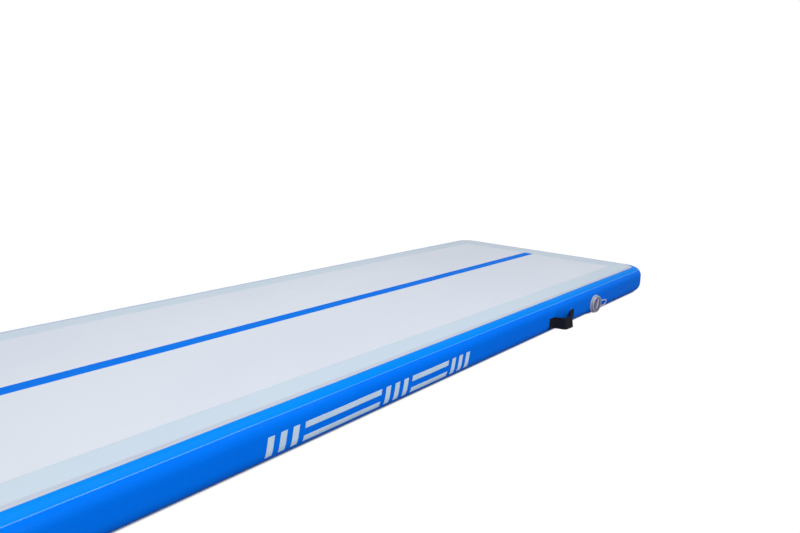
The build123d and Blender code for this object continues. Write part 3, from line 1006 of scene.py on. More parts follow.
class AIRMAT_OT_panels(bpy.types.Operator):
    """Build the top and bottom panels"""

    bl_idname = "airmat.panels"
    bl_label = "Panels"

    def execute(self, context):
        for node, finish, slot, cell in (("top_panel", top_finish, "top_fabric", 12 * MM),
                                         ("bottom_panel", base_finish, "base_fabric", 30 * MM)):
            low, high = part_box(node)
            columns = edge_columns(high.y - low.y, 1 * MM, cell)
            piece = level_sheet(node, 29.9 * MM, finish(), slot, cell, columns)
            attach(piece, "mat")
            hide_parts(node)
        return {"FINISHED"}


class AIRMAT_OT_walls(bpy.types.Operator):
    """Build the side wall, its inner seam band and the outer side band"""

    bl_idname = "airmat.walls"
    bl_label = "Walls"

    def execute(self, context):
        wall = wrapped_layer("side_wall_skin", WALL_DEPTH, WALL_T, WALL_LAP, wall_finish(),
                             "wall_pvc", (12, 4, 4))
        seam = wrapped_layer("inner_seam_band_skin", SEAM_DEPTH, SEAM_T, SEAM_LAP,
                             inner_finish(), "inner_pvc", (8, 2, 3))
        band = side_band_skin()
        for piece, nodes in ((wall, ("side_wall",)), (seam, ("inner_seam_band",)),
                             (band, ("side_band", "valve_seat_pad"))):
            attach(piece, "mat")
            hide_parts(*nodes)
        return {"FINISHED"}


class AIRMAT_OT_tapes(bpy.types.Operator):
    """Build the border tapes, the centre stripe and the cover over the band's joint"""

    bl_idname = "airmat.tapes"
    bl_label = "Tapes and stripe"

    def execute(self, context):
        for level in ("top", "bottom"):
            for side_name, side in (("front", FRONT), ("back", BACK)):
                self.tape(f"{level}_tape_{side_name}", side, self.long_tape)
            for end_name, end in (("left", -1), ("right", 1)):
                self.tape(f"{level}_tape_{end_name}", end, self.end_tape)
        self.stripe()
        self.joint_cover()
        return {"FINISHED"}

    def tape(self, node, outward, lay):
        """Lays one tape, whose outer edge faces outward: -1 is left or front, 1 the other."""
        piece = lay(node, outward, node.startswith("top"))
        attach(piece, "mat")
        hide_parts(node)

    def across(self, width, outer_last, creased):
        """Positions across a tape, closest together where it creases."""
        fine = np.arange(1.3, 15, 0.8) * MM if creased else np.array([4, 9, 14]) * MM
        rest = spaced(16 * MM, width - 1 * MM, 7.5 * MM)
        edge = EDGE_STEPS * MM
        columns = np.concatenate([edge, fine, rest[:-1], width - edge[::-1]])
        return width - columns[::-1] if outer_last else columns

    def long_tape(self, node, side, creased):
        low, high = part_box(node)
        columns = self.across(high.y - low.y, side == BACK, creased)
        return level_sheet(node, 55 * MM, border_finish(), "border_pvc", 9 * MM, columns,
                           creased=creased, outer_side=side)

    def end_tape(self, node, end, creased):
        low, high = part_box(node)
        x, y = np.meshgrid(low.x + self.across(high.x - low.x, end == 1, creased),
                           framed(low.y, high.y, 0.3 * MM, 1 * MM, 9 * MM))
        from_edge = (high.x - x) if end == 1 else (x - low.x)
        away = np.minimum(np.minimum(x - low.x, high.x - x), high.y - np.abs(y))
        return level_slab(node + "_skin", x, y, from_edge, away, low.z, high.z, 1 * MM, creased,
                          y, border_finish(), "border_pvc")

    def stripe(self):
        low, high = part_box("centre_stripe")
        columns = edge_columns(high.y - low.y, 0.8 * MM, 7 * MM)
        piece = level_sheet("centre_stripe", 0, stripe_finish(), "stripe_pvc", 10 * MM, columns,
                            edge=0.8 * MM)
        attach(piece, "mat")
        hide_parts("centre_stripe")

    def joint_cover(self):
        low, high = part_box("side_band_joint_cover")
        piece = wall_sheet("side_band_joint_cover_skin", (low.x + high.x) / 2,
                           (low.z + high.z) / 2, high.x - low.x, high.z - low.z, 6 * MM, BACK)
        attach(piece, "mat")
        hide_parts("side_band_joint_cover")


def wall_grid(x_mid, z_mid, width, height, radius):
    """A rounded rectangle's grid on a wall and each point's distance from the outline."""
    up = edge_columns(height, 1 * MM, 3 * MM) - height / 2
    share = 2 * edge_columns(width, 1 * MM, 3.5 * MM) / width - 1
    past = np.clip((np.abs(up) - (height / 2 - radius)) / radius, 0, 1)
    half = width / 2 - radius * (1 - np.sqrt(1 - past * past))
    x = half[:, None] * share[None, :]
    z = np.broadcast_to(up[:, None], x.shape)
    away = np.minimum(half[:, None] - np.abs(x), height / 2 - np.abs(z))
    return x_mid + x, z_mid + z, away


def wall_sheet(name, x_mid, z_mid, width, height, radius, side):
    """A rounded patch of the band's fabric that follows a long wall and its rolls."""
    x, z, away = wall_grid(x_mid, z_mid, width, height, radius)
    top = PATCH_RISE + PATCH_T - eased(away, PATCH_T, 1 * MM)
    outer, inner = (settle(on_wall(x, z, rise, side), -rise)
                    for rise in (top, np.full(x.shape, PATCH_RISE)))
    return slab(name, outer, inner, np.stack([x, z], axis=-1), band_finish(), "wall_pvc")


# ================================================================ print

def print_shapes():
    """Each bar or rule of the print as its low left corner, width and height."""
    groups = len(RULE_LENGTHS) + 1
    bars = groups * BARS_IN_GROUP
    total = bars * BAR_W + sum(RULE_LENGTHS) + (bars + len(RULE_LENGTHS) - 1) * BAR_GAP
    x, shapes = -total / 2, []
    for group in range(groups):
        for _ in range(BARS_IN_GROUP):
            shapes.append((x, 0.0, BAR_W, PRINT_H))
            x += BAR_W + BAR_GAP
        if group < len(RULE_LENGTHS):
            for z in (0.0, PRINT_H - RULE_H):
                shapes.append((x, z, RULE_LENGTHS[group], RULE_H))
            x += RULE_LENGTHS[group] + BAR_GAP
    return shapes


class AIRMAT_OT_prints(bpy.types.Operator):
    """Build the printed bars and rules on both long sides"""

    bl_idname = "airmat.prints"
    bl_label = "Prints"

    def execute(self, context):
        for side_name, side in (("front", FRONT), ("back", BACK)):
            points, faces, start = [], [], 0
            for x_low, z_low, width, height in print_shapes():
                dx, dz = np.meshgrid(framed(0, width, 0.25 * MM, 1 * MM, 4 * MM),
                                     framed(0, height, 0.25 * MM, 1 * MM, 2.5 * MM))
                away = np.minimum(np.minimum(dx, width - dx), np.minimum(dz, height - dz))
                lean = PRINT_LEAN * ((z_low + dz) / PRINT_H - 0.5)
                x = PRINT_X + x_low + dx + lean
                z = PRINT_Z - PRINT_H / 2 + z_low + dz
                top = FILM_RISE + FILM_T - eased(away, FILM_T, 0.6 * MM)
                for rise in (top, np.full(x.shape, FILM_RISE)):
                    points.append(settle(on_wall(x, z, rise, side), -rise).reshape(-1, 3))
                faces.append(slab_faces(*x.shape, start))
                start += 2 * x.size
            piece = finish_mesh(f"{side_name}_print_film", np.concatenate(points),
                                np.concatenate(faces), film_finish(), slot="print_film")
            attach(piece, "mat")
            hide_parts(f"{side_name}_print")
        return {"FINISHED"}


# ================================================================ pieces by geometry nodes

def planting_tree(name, *numbers):
    """A geometry tree with its own numbers, its given values and its outputs' node."""
    inputs = [("Geometry", "NodeSocketGeometry", None), *numbers,
              ("Material", "NodeSocketMaterial", None)]
    return new_group(name, "GeometryNodeTree", inputs, [("Geometry", "NodeSocketGeometry")])


def planted(tree, points, shape, radius, high, **more):
    """A shape of unit size on every point, scaled to a radius and a height."""
    size = put(tree, "ShaderNodeCombineXYZ", {0: radius, 1: radius, 2: high}).outputs[0]
    inputs = {"Points": points, "Instance": shape.outputs["Mesh"], "Scale": size, **more}
    return put(tree, "GeometryNodeInstanceOnPoints", inputs).outputs[0]


def grown(tree, given, result, placed, soft=True):
    """Ends a tree: its instances made real, smooth and of its material."""
    real = put(tree, "GeometryNodeRealizeInstances", {0: placed}).outputs[0]
    if soft:
        real = put(tree, "GeometryNodeSetShadeSmooth", {0: real}).outputs[0]
    painted = put(tree, "GeometryNodeSetMaterial",
                  {"Geometry": real, "Material": given["Material"]})
    feed(tree, result, {0: painted.outputs[0]})
    return tree


def by_nodes(name, mesh, tree, **values):
    """The piece that a tree makes from a mesh. Its inputs are set by their identifiers."""
    guide = add_object(mesh.name, mesh)
    modifier = guide.modifiers.new(tree.name, "NODES")
    modifier.node_group = tree
    values = spelled(values)
    for item in tree.interface.items_tree:
        if item.in_out == "INPUT" and item.name in values:
            modifier[item.identifier] = values[item.name]
    return baked(guide, name)


# ================================================================ handles

def filleted(points, radii, step):
    """Points along a path of straight runs joined by arcs."""
    points = [np.array(p, float) for p in points]
    path = [points[0]]
    for before, at, after, radius in zip(points, points[1:], points[2:], radii):
        back, forth = before - at, after - at
        back, forth = back / np.linalg.norm(back), forth / np.linalg.norm(forth)
        half = math.acos(np.clip(back @ forth, -1, 1)) / 2
        cut = radius / math.tan(half)
        first, last = at + back * cut, at + forth * cut
        centre = at + (back + forth) / np.linalg.norm(back + forth) * radius / math.sin(half)
        a0 = math.atan2(*(first - centre)[::-1])
        a1 = math.atan2(*(last - centre)[::-1])
        turn = (a1 - a0 + math.pi) % (2 * math.pi) - math.pi
        count = max(3, int(abs(turn) * radius / step) + 1)
        for share in np.linspace(0, 1, count):
            angle = a0 + turn * share
            path.append(centre + radius * np.array([math.cos(angle), math.sin(angle)]))
    path.append(points[-1])
    path = np.array(path)
    run = run_of(path)
    even = np.linspace(0, run[-1], int(run[-1] / step) + 1)
    return np.stack([np.interp(even, run, path[:, i]) for i in (0, 1)], axis=-1), even


def strap_half(name, x_mid, side, hand):
    """Half of a handle's webbing, from its tab to the middle of the loop."""
    s = settings("handles")
    shoulder = LOOP_SHOULDER - hand * LOOP_SKEW
    route = [(TAB_END, TAB_RISE), (TAB_START, TAB_RISE), (shoulder, LOOP_OUT),
             (0.0, LOOP_OUT)]
    path, run = filleted(route, (TAB_BEND_R, LOOP_BEND_R), 1.4 * MM)
    normal = normals_of(path)
    normal *= np.sign(normal[0, 1])

    half_w = STRAP_W / 2
    across = spaced(-half_w, half_w, s.rib_pitch / 4)
    edge = np.clip((np.abs(across) - (half_w - STRAP_EDGE)) / STRAP_EDGE, 0, 1)
    half_t = s.thickness / 2 * np.sqrt(1 - 0.96 * edge ** 2)
    rib = s.rib_height / 2 * np.cos(2 * math.pi * across / s.rib_pitch) * (1 - edge)
    q = np.concatenate([across, across[::-1]])
    face = half_t + rib - s.rib_height / 2
    off = np.concatenate([face, -face[::-1]])

    u, w = path[:, 0], path[:, 1]
    on_tab = smooth((u - TAB_FREE) / (9 * MM))
    free = 1 - on_tab
    sway = hand * (u / TAB_START)
    slack = free * smooth((TAB_START - u) / (30 * MM))
    droop = -s.droop * slack * (0.75 + 0.55 * sway) + LOOP_LIFT * free * (1 - slack)
    tip = -LOOP_TIP * slack * (1 + 0.5 * sway)
    curl = slack * LOOP_CURL * np.cos(u / (20 * MM) + 0.8 * hand)

    z = STRAP_Z + droop[:, None] + q[None, :]
    inset = wall_inset(z)[0]
    lie = q / half_w
    w_all = (w[:, None] + normal[:, 1:2] * off[None, :] - inset * on_tab[:, None]
             + tip[:, None] * q[None, :] + curl[:, None] * (lie ** 2 - 0.4)[None, :])
    u_all = u[:, None] + normal[:, 0:1] * off[None, :]
    plain = np.stack([x_mid + hand * u_all, side * (HALF_W + w_all), z], axis=-1)
    lying = settle(plain, -w[:, None] * np.ones_like(z))
    points = plain + (lying - plain) * on_tab[:, None, None]

    faces, at = tube_faces(len(path), len(q), closed=False)
    uv = np.stack([np.broadcast_to(run[:, None], z.shape),
                   np.broadcast_to(q + half_w, z.shape)], axis=-1).reshape(-1, 2)
    piece = finish_mesh(name, points.reshape(-1, 3), faces, webbing_finish(), uv, sharp=60,
                        slot="webbing")
    cap_ends(piece, at)
    return piece


def cap_ends(piece, at):
    """Closes the two ends of a flat strap with a strip of faces each."""
    def close(shape):
        shape.verts.ensure_lookup_table()
        layer = shape.loops.layers.uv.active
        for ring in (at[0], at[-1]):
            count = len(ring)
            for i in range(count // 2 - 1):
                corners = [ring[i], ring[i + 1], ring[count - 2 - i], ring[count - 1 - i]]
                face = shape.faces.new([shape.verts[k] for k in corners])
                face.smooth = True
                for loop in face.loops:
                    loop[layer].uv = loop.vert.link_loops[0][layer].uv
    reshape(piece.data, close)
    piece.data.set_sharp_from_angle(angle=math.radians(60))


@once("node_groups", "stitches")
def stitch_tree():
    """Geometry nodes that set a stitch along every line of the input."""
    tree, given, result = planting_tree("stitches", ("Spacing", NUMBER, 3.2 * MM),
                                        ("Thread Radius", NUMBER, 0.38 * MM))
    lines = put(tree, "GeometryNodeMeshToCurve", {0: given["Geometry"]})
    spots = put(tree, "GeometryNodeCurveToPoints",
                {"Curve": lines.outputs[0], "Length": given["Spacing"]}, mode="LENGTH").outputs
    ball = put(tree, "GeometryNodeMeshUVSphere", {"Segments": 8, "Rings": 6, "Radius": 1.0})
    half = sums(tree, "MULTIPLY", given["Spacing"], 0.42)
    placed = planted(tree, spots["Points"], ball, given["Thread Radius"], half,
                     Rotation=spots["Rotation"])
    return grown(tree, given, result, placed)


def stitched(name, lines, slot):
    """Stitches along polylines, each a list of points."""
    s = settings("handles")
    points, edges = [], []
    for line in lines:
        start = len(points)
        points += [tuple(p) for p in line]
        edges += [(start + i, start + i + 1) for i in range(len(line) - 1)]
    piece = by_nodes(name, new_mesh(name + "_lines", points, edges=edges), stitch_tree(),
                     Spacing=s.stitch, Thread_Radius=s.thread_r, Material=thread_finish())
    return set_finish(piece, slot)


class AIRMAT_OT_handles(bpy.types.Operator):
    """Build the webbing handles, their patches and their sewing"""

    bl_idname = "airmat.handles"
    bl_label = "Handles"

    def execute(self, context):
        for name, side in HANDLES:
            low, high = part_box(f"{name}_handle_grip")
            x_mid = (low.x + high.x) / 2
            for hand, end in ((-1, "left"), (1, "right")):
                piece = strap_half(f"{name}_handle_strap_{end}", x_mid, side, hand)
                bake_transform(piece)
                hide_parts(f"{name}_handle_ends", f"{name}_handle_grip")
                patch = wall_sheet(f"{name}_handle_patch_{end}", x_mid + hand * PATCH_MID,
                                   STRAP_Z, PATCH_W, PATCH_H, PATCH_R, side)
                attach(patch, "mat")
                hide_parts(f"{name}_handle_patches")
            sewing = stitched(f"{name}_handle_sewing", self.lines(x_mid, side), "thread")
            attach(sewing, "mat")
            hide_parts(f"{name}_handle_stitching")
        return {"FINISHED"}

    def lines(self, x_mid, side):
        """A box and a cross on each tab, just over the webbing."""
        rise = TAB_RISE + settings("handles").thickness / 2 + 0.1 * MM
        inner, outer, low, high = STITCH_BOX
        box = [(inner, low), (outer, low), (outer, high), (inner, high), (inner, low)]
        made = []
        for hand in (-1, 1):
            for corners in (box, [(inner, low), (outer, high)], [(inner, high), (outer, low)]):
                line = []
                for (u0, z0), (u1, z1) in zip(corners, corners[1:]):
                    share = np.linspace(0, 1, 9)[:-1]
                    line += [(u0 + (u1 - u0) * t, z0 + (z1 - z0) * t) for t in share]
                line.append(corners[-1])
                u, z = np.array(line).T
                over = on_wall(x_mid + hand * u, z, np.full(len(u), rise), side)
                made.append(settle(over, -rise))
        return made


# ================================================================ valve

def spline(route, count):
    """A smooth line near the points of a route, from its first point to its last."""
    knots = np.concatenate([[route[0]], route, [route[-1]]])
    spans = len(knots) - 2
    t = np.linspace(0, spans, count)
    i = np.minimum(t.astype(int), spans - 1)
    f = (t - i)[:, None]
    p0, p1, p2 = knots[i], knots[i + 1], knots[np.minimum(i + 2, len(knots) - 1)]
    return 0.5 * ((1 - f) ** 2 * p0 + (1 + 2 * f * (1 - f)) * p1 + f ** 2 * p2)


def valve_points(outline, level):
    """An outline in millimetres about the valve's axis, at levels out from the wall."""
    return np.stack([VALVE_X + outline[:, 0] * MM,
                     np.full(len(outline), -HALF_W - level * MM),
                     VALVE_Z + outline[:, 1] * MM], axis=-1)


def circled(radius, turns):
    return np.stack([radius * np.cos(turns), radius * np.sin(turns)], axis=-1)


def stadium(length_mm, width_mm, count):
    """A bar's outline with round ends, in millimetres."""
    radius = width_mm / 2
    right = circled(radius, np.linspace(-math.pi / 2, math.pi / 2, count // 2))
    right[:, 0] += length_mm / 2 - radius
    return np.concatenate([right, -right])


def lathe(name, profile, segments, material):
    """A profile of radii and levels, in millimetres, turned about the valve's axis."""
    turns = full_turn(segments)
    rings = [valve_points(circled(r, turns), level) for r, level in profile]
    at = np.arange(len(profile) * segments).reshape(len(profile), segments)
    after, along = np.roll(at, -1, axis=0), np.roll(at, -1, axis=1)
    faces = quads(at, after, np.roll(after, -1, axis=1), along)
    return merged(name, np.concatenate(rings).tolist(), faces.tolist(), material, 32)


def rounded(wave, half):
    """One axis of a section with rounded corners, from the cosine or sine round it."""
    return half * np.sign(wave) * np.abs(wave) ** 0.5


def rib_tree():
    """Geometry nodes that stand ribs round a rim whose axis is Y."""
    tree, given, result = planting_tree(
        "rim_ribs", ("Count", "NodeSocketInt", 32), ("Rim Radius", NUMBER, 29 * MM),
        ("Rib Radius", NUMBER, 1 * MM), ("Rib Length", NUMBER, 2 * MM),
        ("Centre", "NodeSocketVector", None))
    rim = put(tree, "GeometryNodeMeshCircle",
              {"Vertices": given["Count"], "Radius": given["Rim Radius"]}).outputs["Mesh"]
    rib = put(tree, "GeometryNodeMeshUVSphere", {"Segments": 10, "Rings": 8, "Radius": 1.0})
    half = sums(tree, "MULTIPLY", given["Rib Length"], 0.5)
    moved = put(tree, "GeometryNodeTransform",
                {"Geometry": planted(tree, rim, rib, given["Rib Radius"], half),
                 "Translation": given["Centre"], "Rotation": (math.pi / 2, 0, 0)})
    return grown(tree, given, result, moved.outputs[0])


class AIRMAT_OT_valve(bpy.types.Operator):
    """Build the cap with its ribs, the cap's tether and the stem's spring"""

    bl_idname = "airmat.valve"
    bl_label = "Valve"

    def execute(self, context):
        self.cap()
        self.rim_ribs()
        self.tether()
        self.spring()
        return {"FINISHED"}

    def spring(self):
        """A coil with closed ends."""
        low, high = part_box("valve_spring")
        radius = (high.z - low.z) / 2 - SPRING_WIRE_R
        share = np.linspace(0, 1, SPRING_TURNS * 28)
        turn = 2 * math.pi * SPRING_TURNS * share
        run = high.y - low.y - 2 * SPRING_WIRE_R
        rise = smooth(np.clip((share - 0.06) / 0.88, 0, 1)) * 0.15 + share * 0.85
        mid = np.stack([VALVE_X + radius * np.cos(turn), low.y + SPRING_WIRE_R + run * rise,
                        VALVE_Z + radius * np.sin(turn)], axis=-1)
        away = np.stack([np.cos(turn), 0 * turn, np.sin(turn)], axis=-1)
        around = full_turn(10)[None, :, None]
        rings = mid[:, None, :] + SPRING_WIRE_R * (
            np.cos(around) * away[:, None, :] + np.sin(around) * np.array([0.0, 1.0, 0.0]))
        coil = merged("valve_spring_coil", *capped(rings), slot_finish("spring_steel"), 40)
        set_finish(coil, "spring_steel")
        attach(coil, "mat")
        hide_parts("valve_spring")
        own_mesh(coil)

    def cap(self):
        """The turned cap with its recessed face, a grip bar and two raised arcs."""
        profile = [(21.15, 7.3), (21.4, 7.2), (24.2, 7.2), (24.5, 7.45), (24.5, 10.45),
                   (28.4, 10.5), (28.8, 10.6), (29.0, 10.9), (29.0, 11.7), (28.8, 12.2),
                   (28.3, 12.55), (27.6, 12.7), (26.9, 12.65), (26.4, 12.4), (26.1, 12.15),
                   (25.6, 12.05), (22.0, 12.0), (12.0, 12.0), (5.0, 12.0), (0.0, 12.0),
                   (0.0, 10.55), (10.0, 10.55), (20.8, 10.55), (21.15, 10.3)]
        cap = lathe("valve_cap_turned", profile, 96, slot_finish("valve_plastic"))
        for slot in ("cap_plastic", "cap_arcs"):
            cap.data.materials.append(slot_finish(slot))
        for face in cap.data.polygons:
            r = math.hypot(face.center.x - VALVE_X, face.center.z - VALVE_Z)
            outside = face.center.y < -HALF_W - CAP_FACE_OUT
            face.material_index = 1 if r < CAP_FACE_R and outside else 0
        extras = [self.grip_bar()] + [
            self.face_arc(GRIP_TURN + math.radians(start), math.radians(125))
            for start in (25, 205)]
        with bpy.context.temp_override(active_object=cap, object=cap,
                                       selected_editable_objects=[cap, *extras],
                                       selected_objects=[cap, *extras]):
            bpy.ops.object.join()
        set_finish(cap, "cap_plastic")
        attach(cap, "cap")
        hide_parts("valve_cap")

    def grip_bar(self):
        """A low bar with round ends across the cap's face."""
        rings = []
        for grow, level in ((0.0, 11.8), (0.0, 13.4), (-0.15, 13.9), (-0.5, 14.3), (-1.1, 14.5),
                            (-1.9, 14.55)):
            bar = stadium(36.0 + 2 * grow, 6.5 + 2 * grow, 40)
            bar = bar @ np.array([[math.cos(GRIP_TURN), math.sin(GRIP_TURN)],
                                  [-math.sin(GRIP_TURN), math.cos(GRIP_TURN)]])
            rings.append(valve_points(bar, level))
        return merged("cap_grip", *capped(rings), slot_finish("valve_plastic"), 40)

    def face_arc(self, start, sweep):
        """A raised arc of moulding on the cap's face, tapered to its end."""
        rings, mid, low, high = [], 17.5, 11.85, 12.35
        for share in np.linspace(0, 1, 28):
            half = 4.5 * (1 - 0.6 * share)
            radii = np.array([mid - half, mid - half + 0.25, mid + half - 0.25, mid + half])
            rings.append(valve_points(circled(radii, start + sweep * share),
                                      np.array([low, high, high, low])))
        return merged("cap_arc", *capped(rings), slot_finish("cap_arcs"), 40)

    def rim_ribs(self):
        """Ribs round the cap's rim, by geometry nodes."""
        s = settings("valve")
        piece = by_nodes("valve_cap_ribs", new_mesh("rib_seed", [(0, 0, 0)]), rib_tree(),
                         Count=s.ribs, Rim_Radius=28.7 * MM, Rib_Radius=s.rib_r,
                         Rib_Length=1.8 * MM,
                         Centre=(VALVE_X, -HALF_W - 11.5 * MM, VALVE_Z),
                         Material=slot_finish("valve_plastic"))
        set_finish(piece, "cap_plastic")
        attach(piece, "cap")
        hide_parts("valve_cap")

    def tether(self):
        """A flat moulded strap in one smooth loop from the cap's ring to its post."""
        low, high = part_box("cap_tether")
        y_mid = (low.y + high.y) / 2
        route = np.array([(25.9, 6.9), (34.0, 6.6), (48.0, 4.6), (63.0, 2.4), (74.0, -1.0),
                          (77.0, -7.0), (70.0, -13.0), (54.0, -14.8), (40.0, -14.6),
                          (30.0, -13.9), (25.6, -13.6)]) * MM
        path = spline(route, 110)
        run, normal = run_of(path), normals_of(path)
        turns = full_turn(20)
        a, b = rounded(np.cos(turns), TETHER_W / 2), rounded(np.sin(turns), TETHER_T / 2)
        share = run / run[-1]
        ends = np.clip(1 - np.minimum(run, run[-1] - run) / (4 * MM), 0, 1)
        wide = a[None, :] * (1 + 0.35 * smooth(ends))[:, None]
        sag = TETHER_SAG * np.sin(math.pi * share) ** 2
        x = VALVE_X + path[:, 0:1] + normal[:, 0:1] * wide
        z = VALVE_Z + path[:, 1:2] + normal[:, 1:2] * wide
        points = np.stack([x, y_mid + b[None, :] + sag[:, None] + 0 * x, z], axis=-1)
        faces, _ = tube_faces(len(path), len(turns), closed=False)
        piece = finish_mesh("cap_tether_strap", points.reshape(-1, 3), faces,
                            slot_finish("tether_plastic"), slot="tether_plastic")
        reshape(piece.data, lambda shape: bmesh.ops.holes_fill(
            shape, edges=[e for e in shape.edges if e.is_boundary], sides=0))
        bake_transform(piece)
        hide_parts("cap_tether")


# ================================================================ inside

def yarn_tree():
    """Geometry nodes that stand a bundle of yarns on every point of the input."""
    tree, given, result = planting_tree("yarns", ("Radius", NUMBER, 1.2 * MM))
    stem = put(tree, "GeometryNodeMeshCylinder", {"Vertices": 10, "Radius": 1.0, "Depth": 1.0,
                                                  "Side Segments": 3})
    high = put(tree, "GeometryNodeInputNamedAttribute", {"Name": "tall"}, data_type="FLOAT")
    placed = planted(tree, given["Geometry"], stem, given["Radius"], high.outputs["Attribute"])
    return grown(tree, given, result, placed, soft=False)


class AIRMAT_OT_inside(bpy.types.Operator):
    """Build the drop-stitch yarns and give every piece that is kept its finish"""

    bl_idname = "airmat.inside"
    bl_label = "Inside and kept pieces"

    def execute(self, context):
        self.yarns()
        slots = {p["node"]: p["material_slot"] for p in frame["record"]["subparts"]}
        for name, node in frame["nodes"].items():
            finish = slot_finish(slots[name])
            if not node.material_slots:
                node.data.materials.append(None)
            for slot in node.material_slots:
                slot.link = "OBJECT"
                slot.material = finish
        return {"FINISHED"}

    def yarns(self):
        low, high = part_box("drop_stitch_yarns")
        radius = 1.2 * MM
        xs = spaced(low.x + radius, high.x - radius, 100 * MM)
        ys = spaced(low.y + radius, high.y - radius, 100 * MM)
        x, y = (a.ravel() for a in np.meshgrid(xs, ys))
        foot = np.stack([x, y, np.full(len(x), low.z)], axis=-1)
        head = settle(np.stack([x, y, np.full(len(x), high.z)], axis=-1))
        tall = head[:, 2] - foot[:, 2]
        foot[:, 2] += tall / 2
        mesh = new_mesh("yarn_feet", foot.tolist())
        mesh.attributes.new("tall", "FLOAT", "POINT").data.foreach_set(
            "value", tall.astype(np.float32))
        piece = by_nodes("drop_stitch_yarn_bundles", mesh, yarn_tree(), Radius=radius,
                         Material=yarn_finish())
        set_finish(piece, "yarn")
        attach(piece, "mat")
        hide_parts("drop_stitch_yarns")


# ================================================================ stage

CAMERA_AT, CAMERA_TURN = (-0.532, -1.272, 0.575), (49.0, 13.31, -1.37)
SENSOR_WIDTH = 36.0
PAPER_REACH, PAPER_DROP = 60.0, 0.3 * MM    # the floor's half width, and its gap to the mat
CONTACT_REACH = 9 * MM      # how far the mat's contact shade spreads on the floor


def placing(place, right, up, back):
    """The matrix that puts an object at a place, with its axes along three directions."""
    return Matrix.Translation(place) @ Matrix(np.stack([right, up, back], axis=-1)).to_4x4()


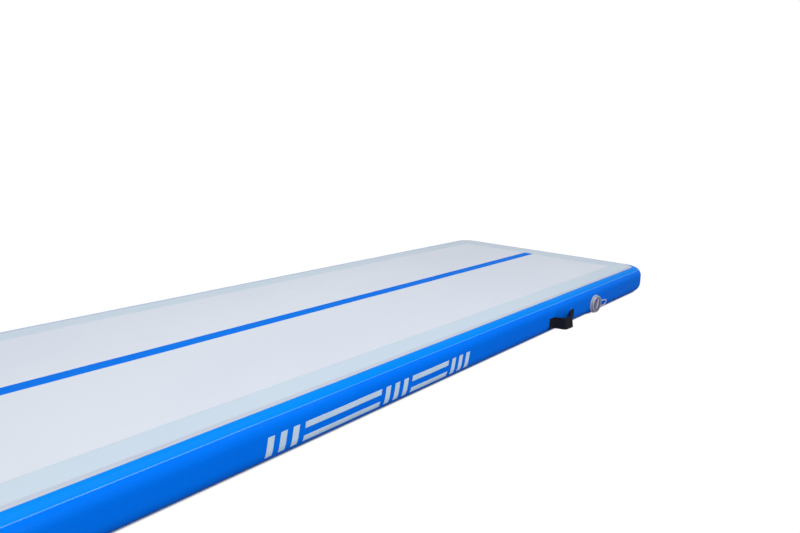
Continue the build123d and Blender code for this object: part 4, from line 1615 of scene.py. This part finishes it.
class AIRMAT_OT_stage(bpy.types.Operator):
    """Build the camera, the floor and the lights"""

    bl_idname = "airmat.stage"
    bl_label = "Stage"

    def execute(self, context):
        s = settings("stage")
        self.camera(s)
        self.floor()
        self.room(s)
        self.area("key_light", (-0.3, -0.1, 3.6), (0.05, -0.2, 0.05), 2.6, 2.6, s.key)
        self.area("strip_light", (0.73, -1.78, 1.50), (-0.09, -0.49, 0.09), 0.75, 0.22, s.streak)
        self.area("fill_light", (-1.2, -2.6, 0.9), (-0.4, -0.5, 0.05), 1.2, 0.8, s.fill)
        context.scene.view_settings.view_transform = "Standard"
        return {"FINISHED"}

    def camera(self, s):
        yaw, pitch, roll = (math.radians(a) for a in CAMERA_TURN)
        ahead = np.array([math.cos(yaw) * math.cos(pitch), math.sin(yaw) * math.cos(pitch),
                          -math.sin(pitch)])
        right = np.array([math.sin(yaw), -math.cos(yaw), 0.0])
        up = np.cross(right, ahead)
        tilt_right = right * math.cos(roll) + up * math.sin(roll)
        tilt_up = -right * math.sin(roll) + up * math.cos(roll)
        data = bpy.data.cameras.new("camera")
        data.lens, data.sensor_width = s.lens, SENSOR_WIDTH
        data.clip_start, data.clip_end = 0.01, 200.0
        camera = add_object("camera", data)
        camera.matrix_world = placing(CAMERA_AT, tilt_right, tilt_up, -ahead)
        bpy.context.scene.camera = camera

    def floor(self):
        corners = [(PAPER_REACH * x, PAPER_REACH * y, -PAPER_DROP)
                   for x, y in ((-1, -1), (1, -1), (1, 1), (-1, 1))]
        mesh = new_mesh("floor", corners, [(0, 1, 2, 3)])
        material, tree, shader = blank_material("floor_paper", Roughness=0.9,
                                                Specular_IOR_Level=0.1)
        shader.inputs["Base Color"].default_value = (0.27, 0.28, 0.30, 1)
        seen = put(tree, "ShaderNodeLightPath").outputs["Is Camera Ray"]
        # Seen by the camera the floor glows an even white, with a painted navy contact shadow
        # where ambient occlusion finds the mat close.
        open_sky = put(tree, "ShaderNodeAmbientOcclusion", {"Distance": CONTACT_REACH})
        clear = ranged(tree, open_sky.outputs["AO"], 0.2, 0.55)
        pale = mixed(tree, clear, rgba((0.004, 0.035, 0.16)), (1, 1, 1, 1))
        glow = put(tree, "ShaderNodeEmission", {"Color": pale, "Strength": 1.12})
        both = put(tree, "ShaderNodeMixShader", {0: sums(tree, "MULTIPLY", seen, 0.88)})
        tree.links.new(shader.outputs[0], both.inputs[1])
        tree.links.new(glow.outputs[0], both.inputs[2])
        tree.links.new(both.outputs[0], tree.nodes["Material Output"].inputs["Surface"])
        mesh.materials.append(material)
        add_object("floor", mesh)

    def room(self, s):
        world = bpy.data.worlds.new("room")
        world.use_nodes = True
        tree = world.node_tree
        back = tree.nodes["Background"]
        back.inputs["Color"].default_value = (1, 1, 1, 1)
        seen = put(tree, "ShaderNodeLightPath").outputs["Is Camera Ray"]
        strength = sums(tree, "MULTIPLY_ADD", seen, 1.05 - s.sky, s.sky)
        tree.links.new(strength, back.inputs["Strength"])
        bpy.context.scene.world = world

    def area(self, name, place, target, width, height, power):
        data = bpy.data.lights.new(name, "AREA")
        data.shape, data.size, data.size_y, data.energy = "RECTANGLE", width, height, power
        place, target = np.array(place), np.array(target)
        back = (place - target) / np.linalg.norm(place - target)
        side = np.cross((0, 0, 1), back)
        side /= np.linalg.norm(side)
        up = np.cross(back, side)
        add_object(name, data).matrix_world = placing(place, side, up, back)


# ================================================================ add-on

class AIRMAT_PT_build(bpy.types.Panel):
    """Lists the mat's pieces and their settings"""

    bl_label = "Air Mat"
    bl_idname = "AIRMAT_PT_build"
    bl_space_type = "VIEW_3D"
    bl_region_type = "UI"
    bl_category = "Air Mat"

    def draw(self, context):
        for operator in OPERATORS:
            self.layout.operator(operator.bl_idname)
        for name, _ in GROUPS:
            box = self.layout.box()
            group = settings(name)
            for field in group.__annotations__:
                box.prop(group, field)


GROUPS = (("skins", AirMatSkins), ("colours", AirMatColours), ("handles", AirMatHandles),
          ("valve", AirMatValve), ("stage", AirMatStage))
OPERATORS = (AIRMAT_OT_stage, AIRMAT_OT_panels, AIRMAT_OT_walls, AIRMAT_OT_tapes,
             AIRMAT_OT_prints, AIRMAT_OT_handles, AIRMAT_OT_valve, AIRMAT_OT_inside)


def register():
    for _, group in GROUPS:
        bpy.utils.register_class(group)
    for operator in OPERATORS:
        bpy.utils.register_class(operator)
    bpy.utils.register_class(AIRMAT_PT_build)
    for name, group in GROUPS:
        setattr(bpy.types.Scene, "air_mat_" + name, PointerProperty(type=group))


def unregister():
    for name, _ in GROUPS:
        delattr(bpy.types.Scene, "air_mat_" + name)
    bpy.utils.unregister_class(AIRMAT_PT_build)
    for operator in reversed(OPERATORS):
        bpy.utils.unregister_class(operator)
    for _, group in reversed(GROUPS):
        bpy.utils.unregister_class(group)


def main():
    register()
    bpy.ops.airmat.stage()
    bpy.ops.airmat.panels()
    bpy.ops.airmat.walls()
    bpy.ops.airmat.tapes()
    bpy.ops.airmat.prints()
    bpy.ops.airmat.handles()
    bpy.ops.airmat.valve()
    bpy.ops.airmat.inside()


if __name__ == "__main__":
    main()
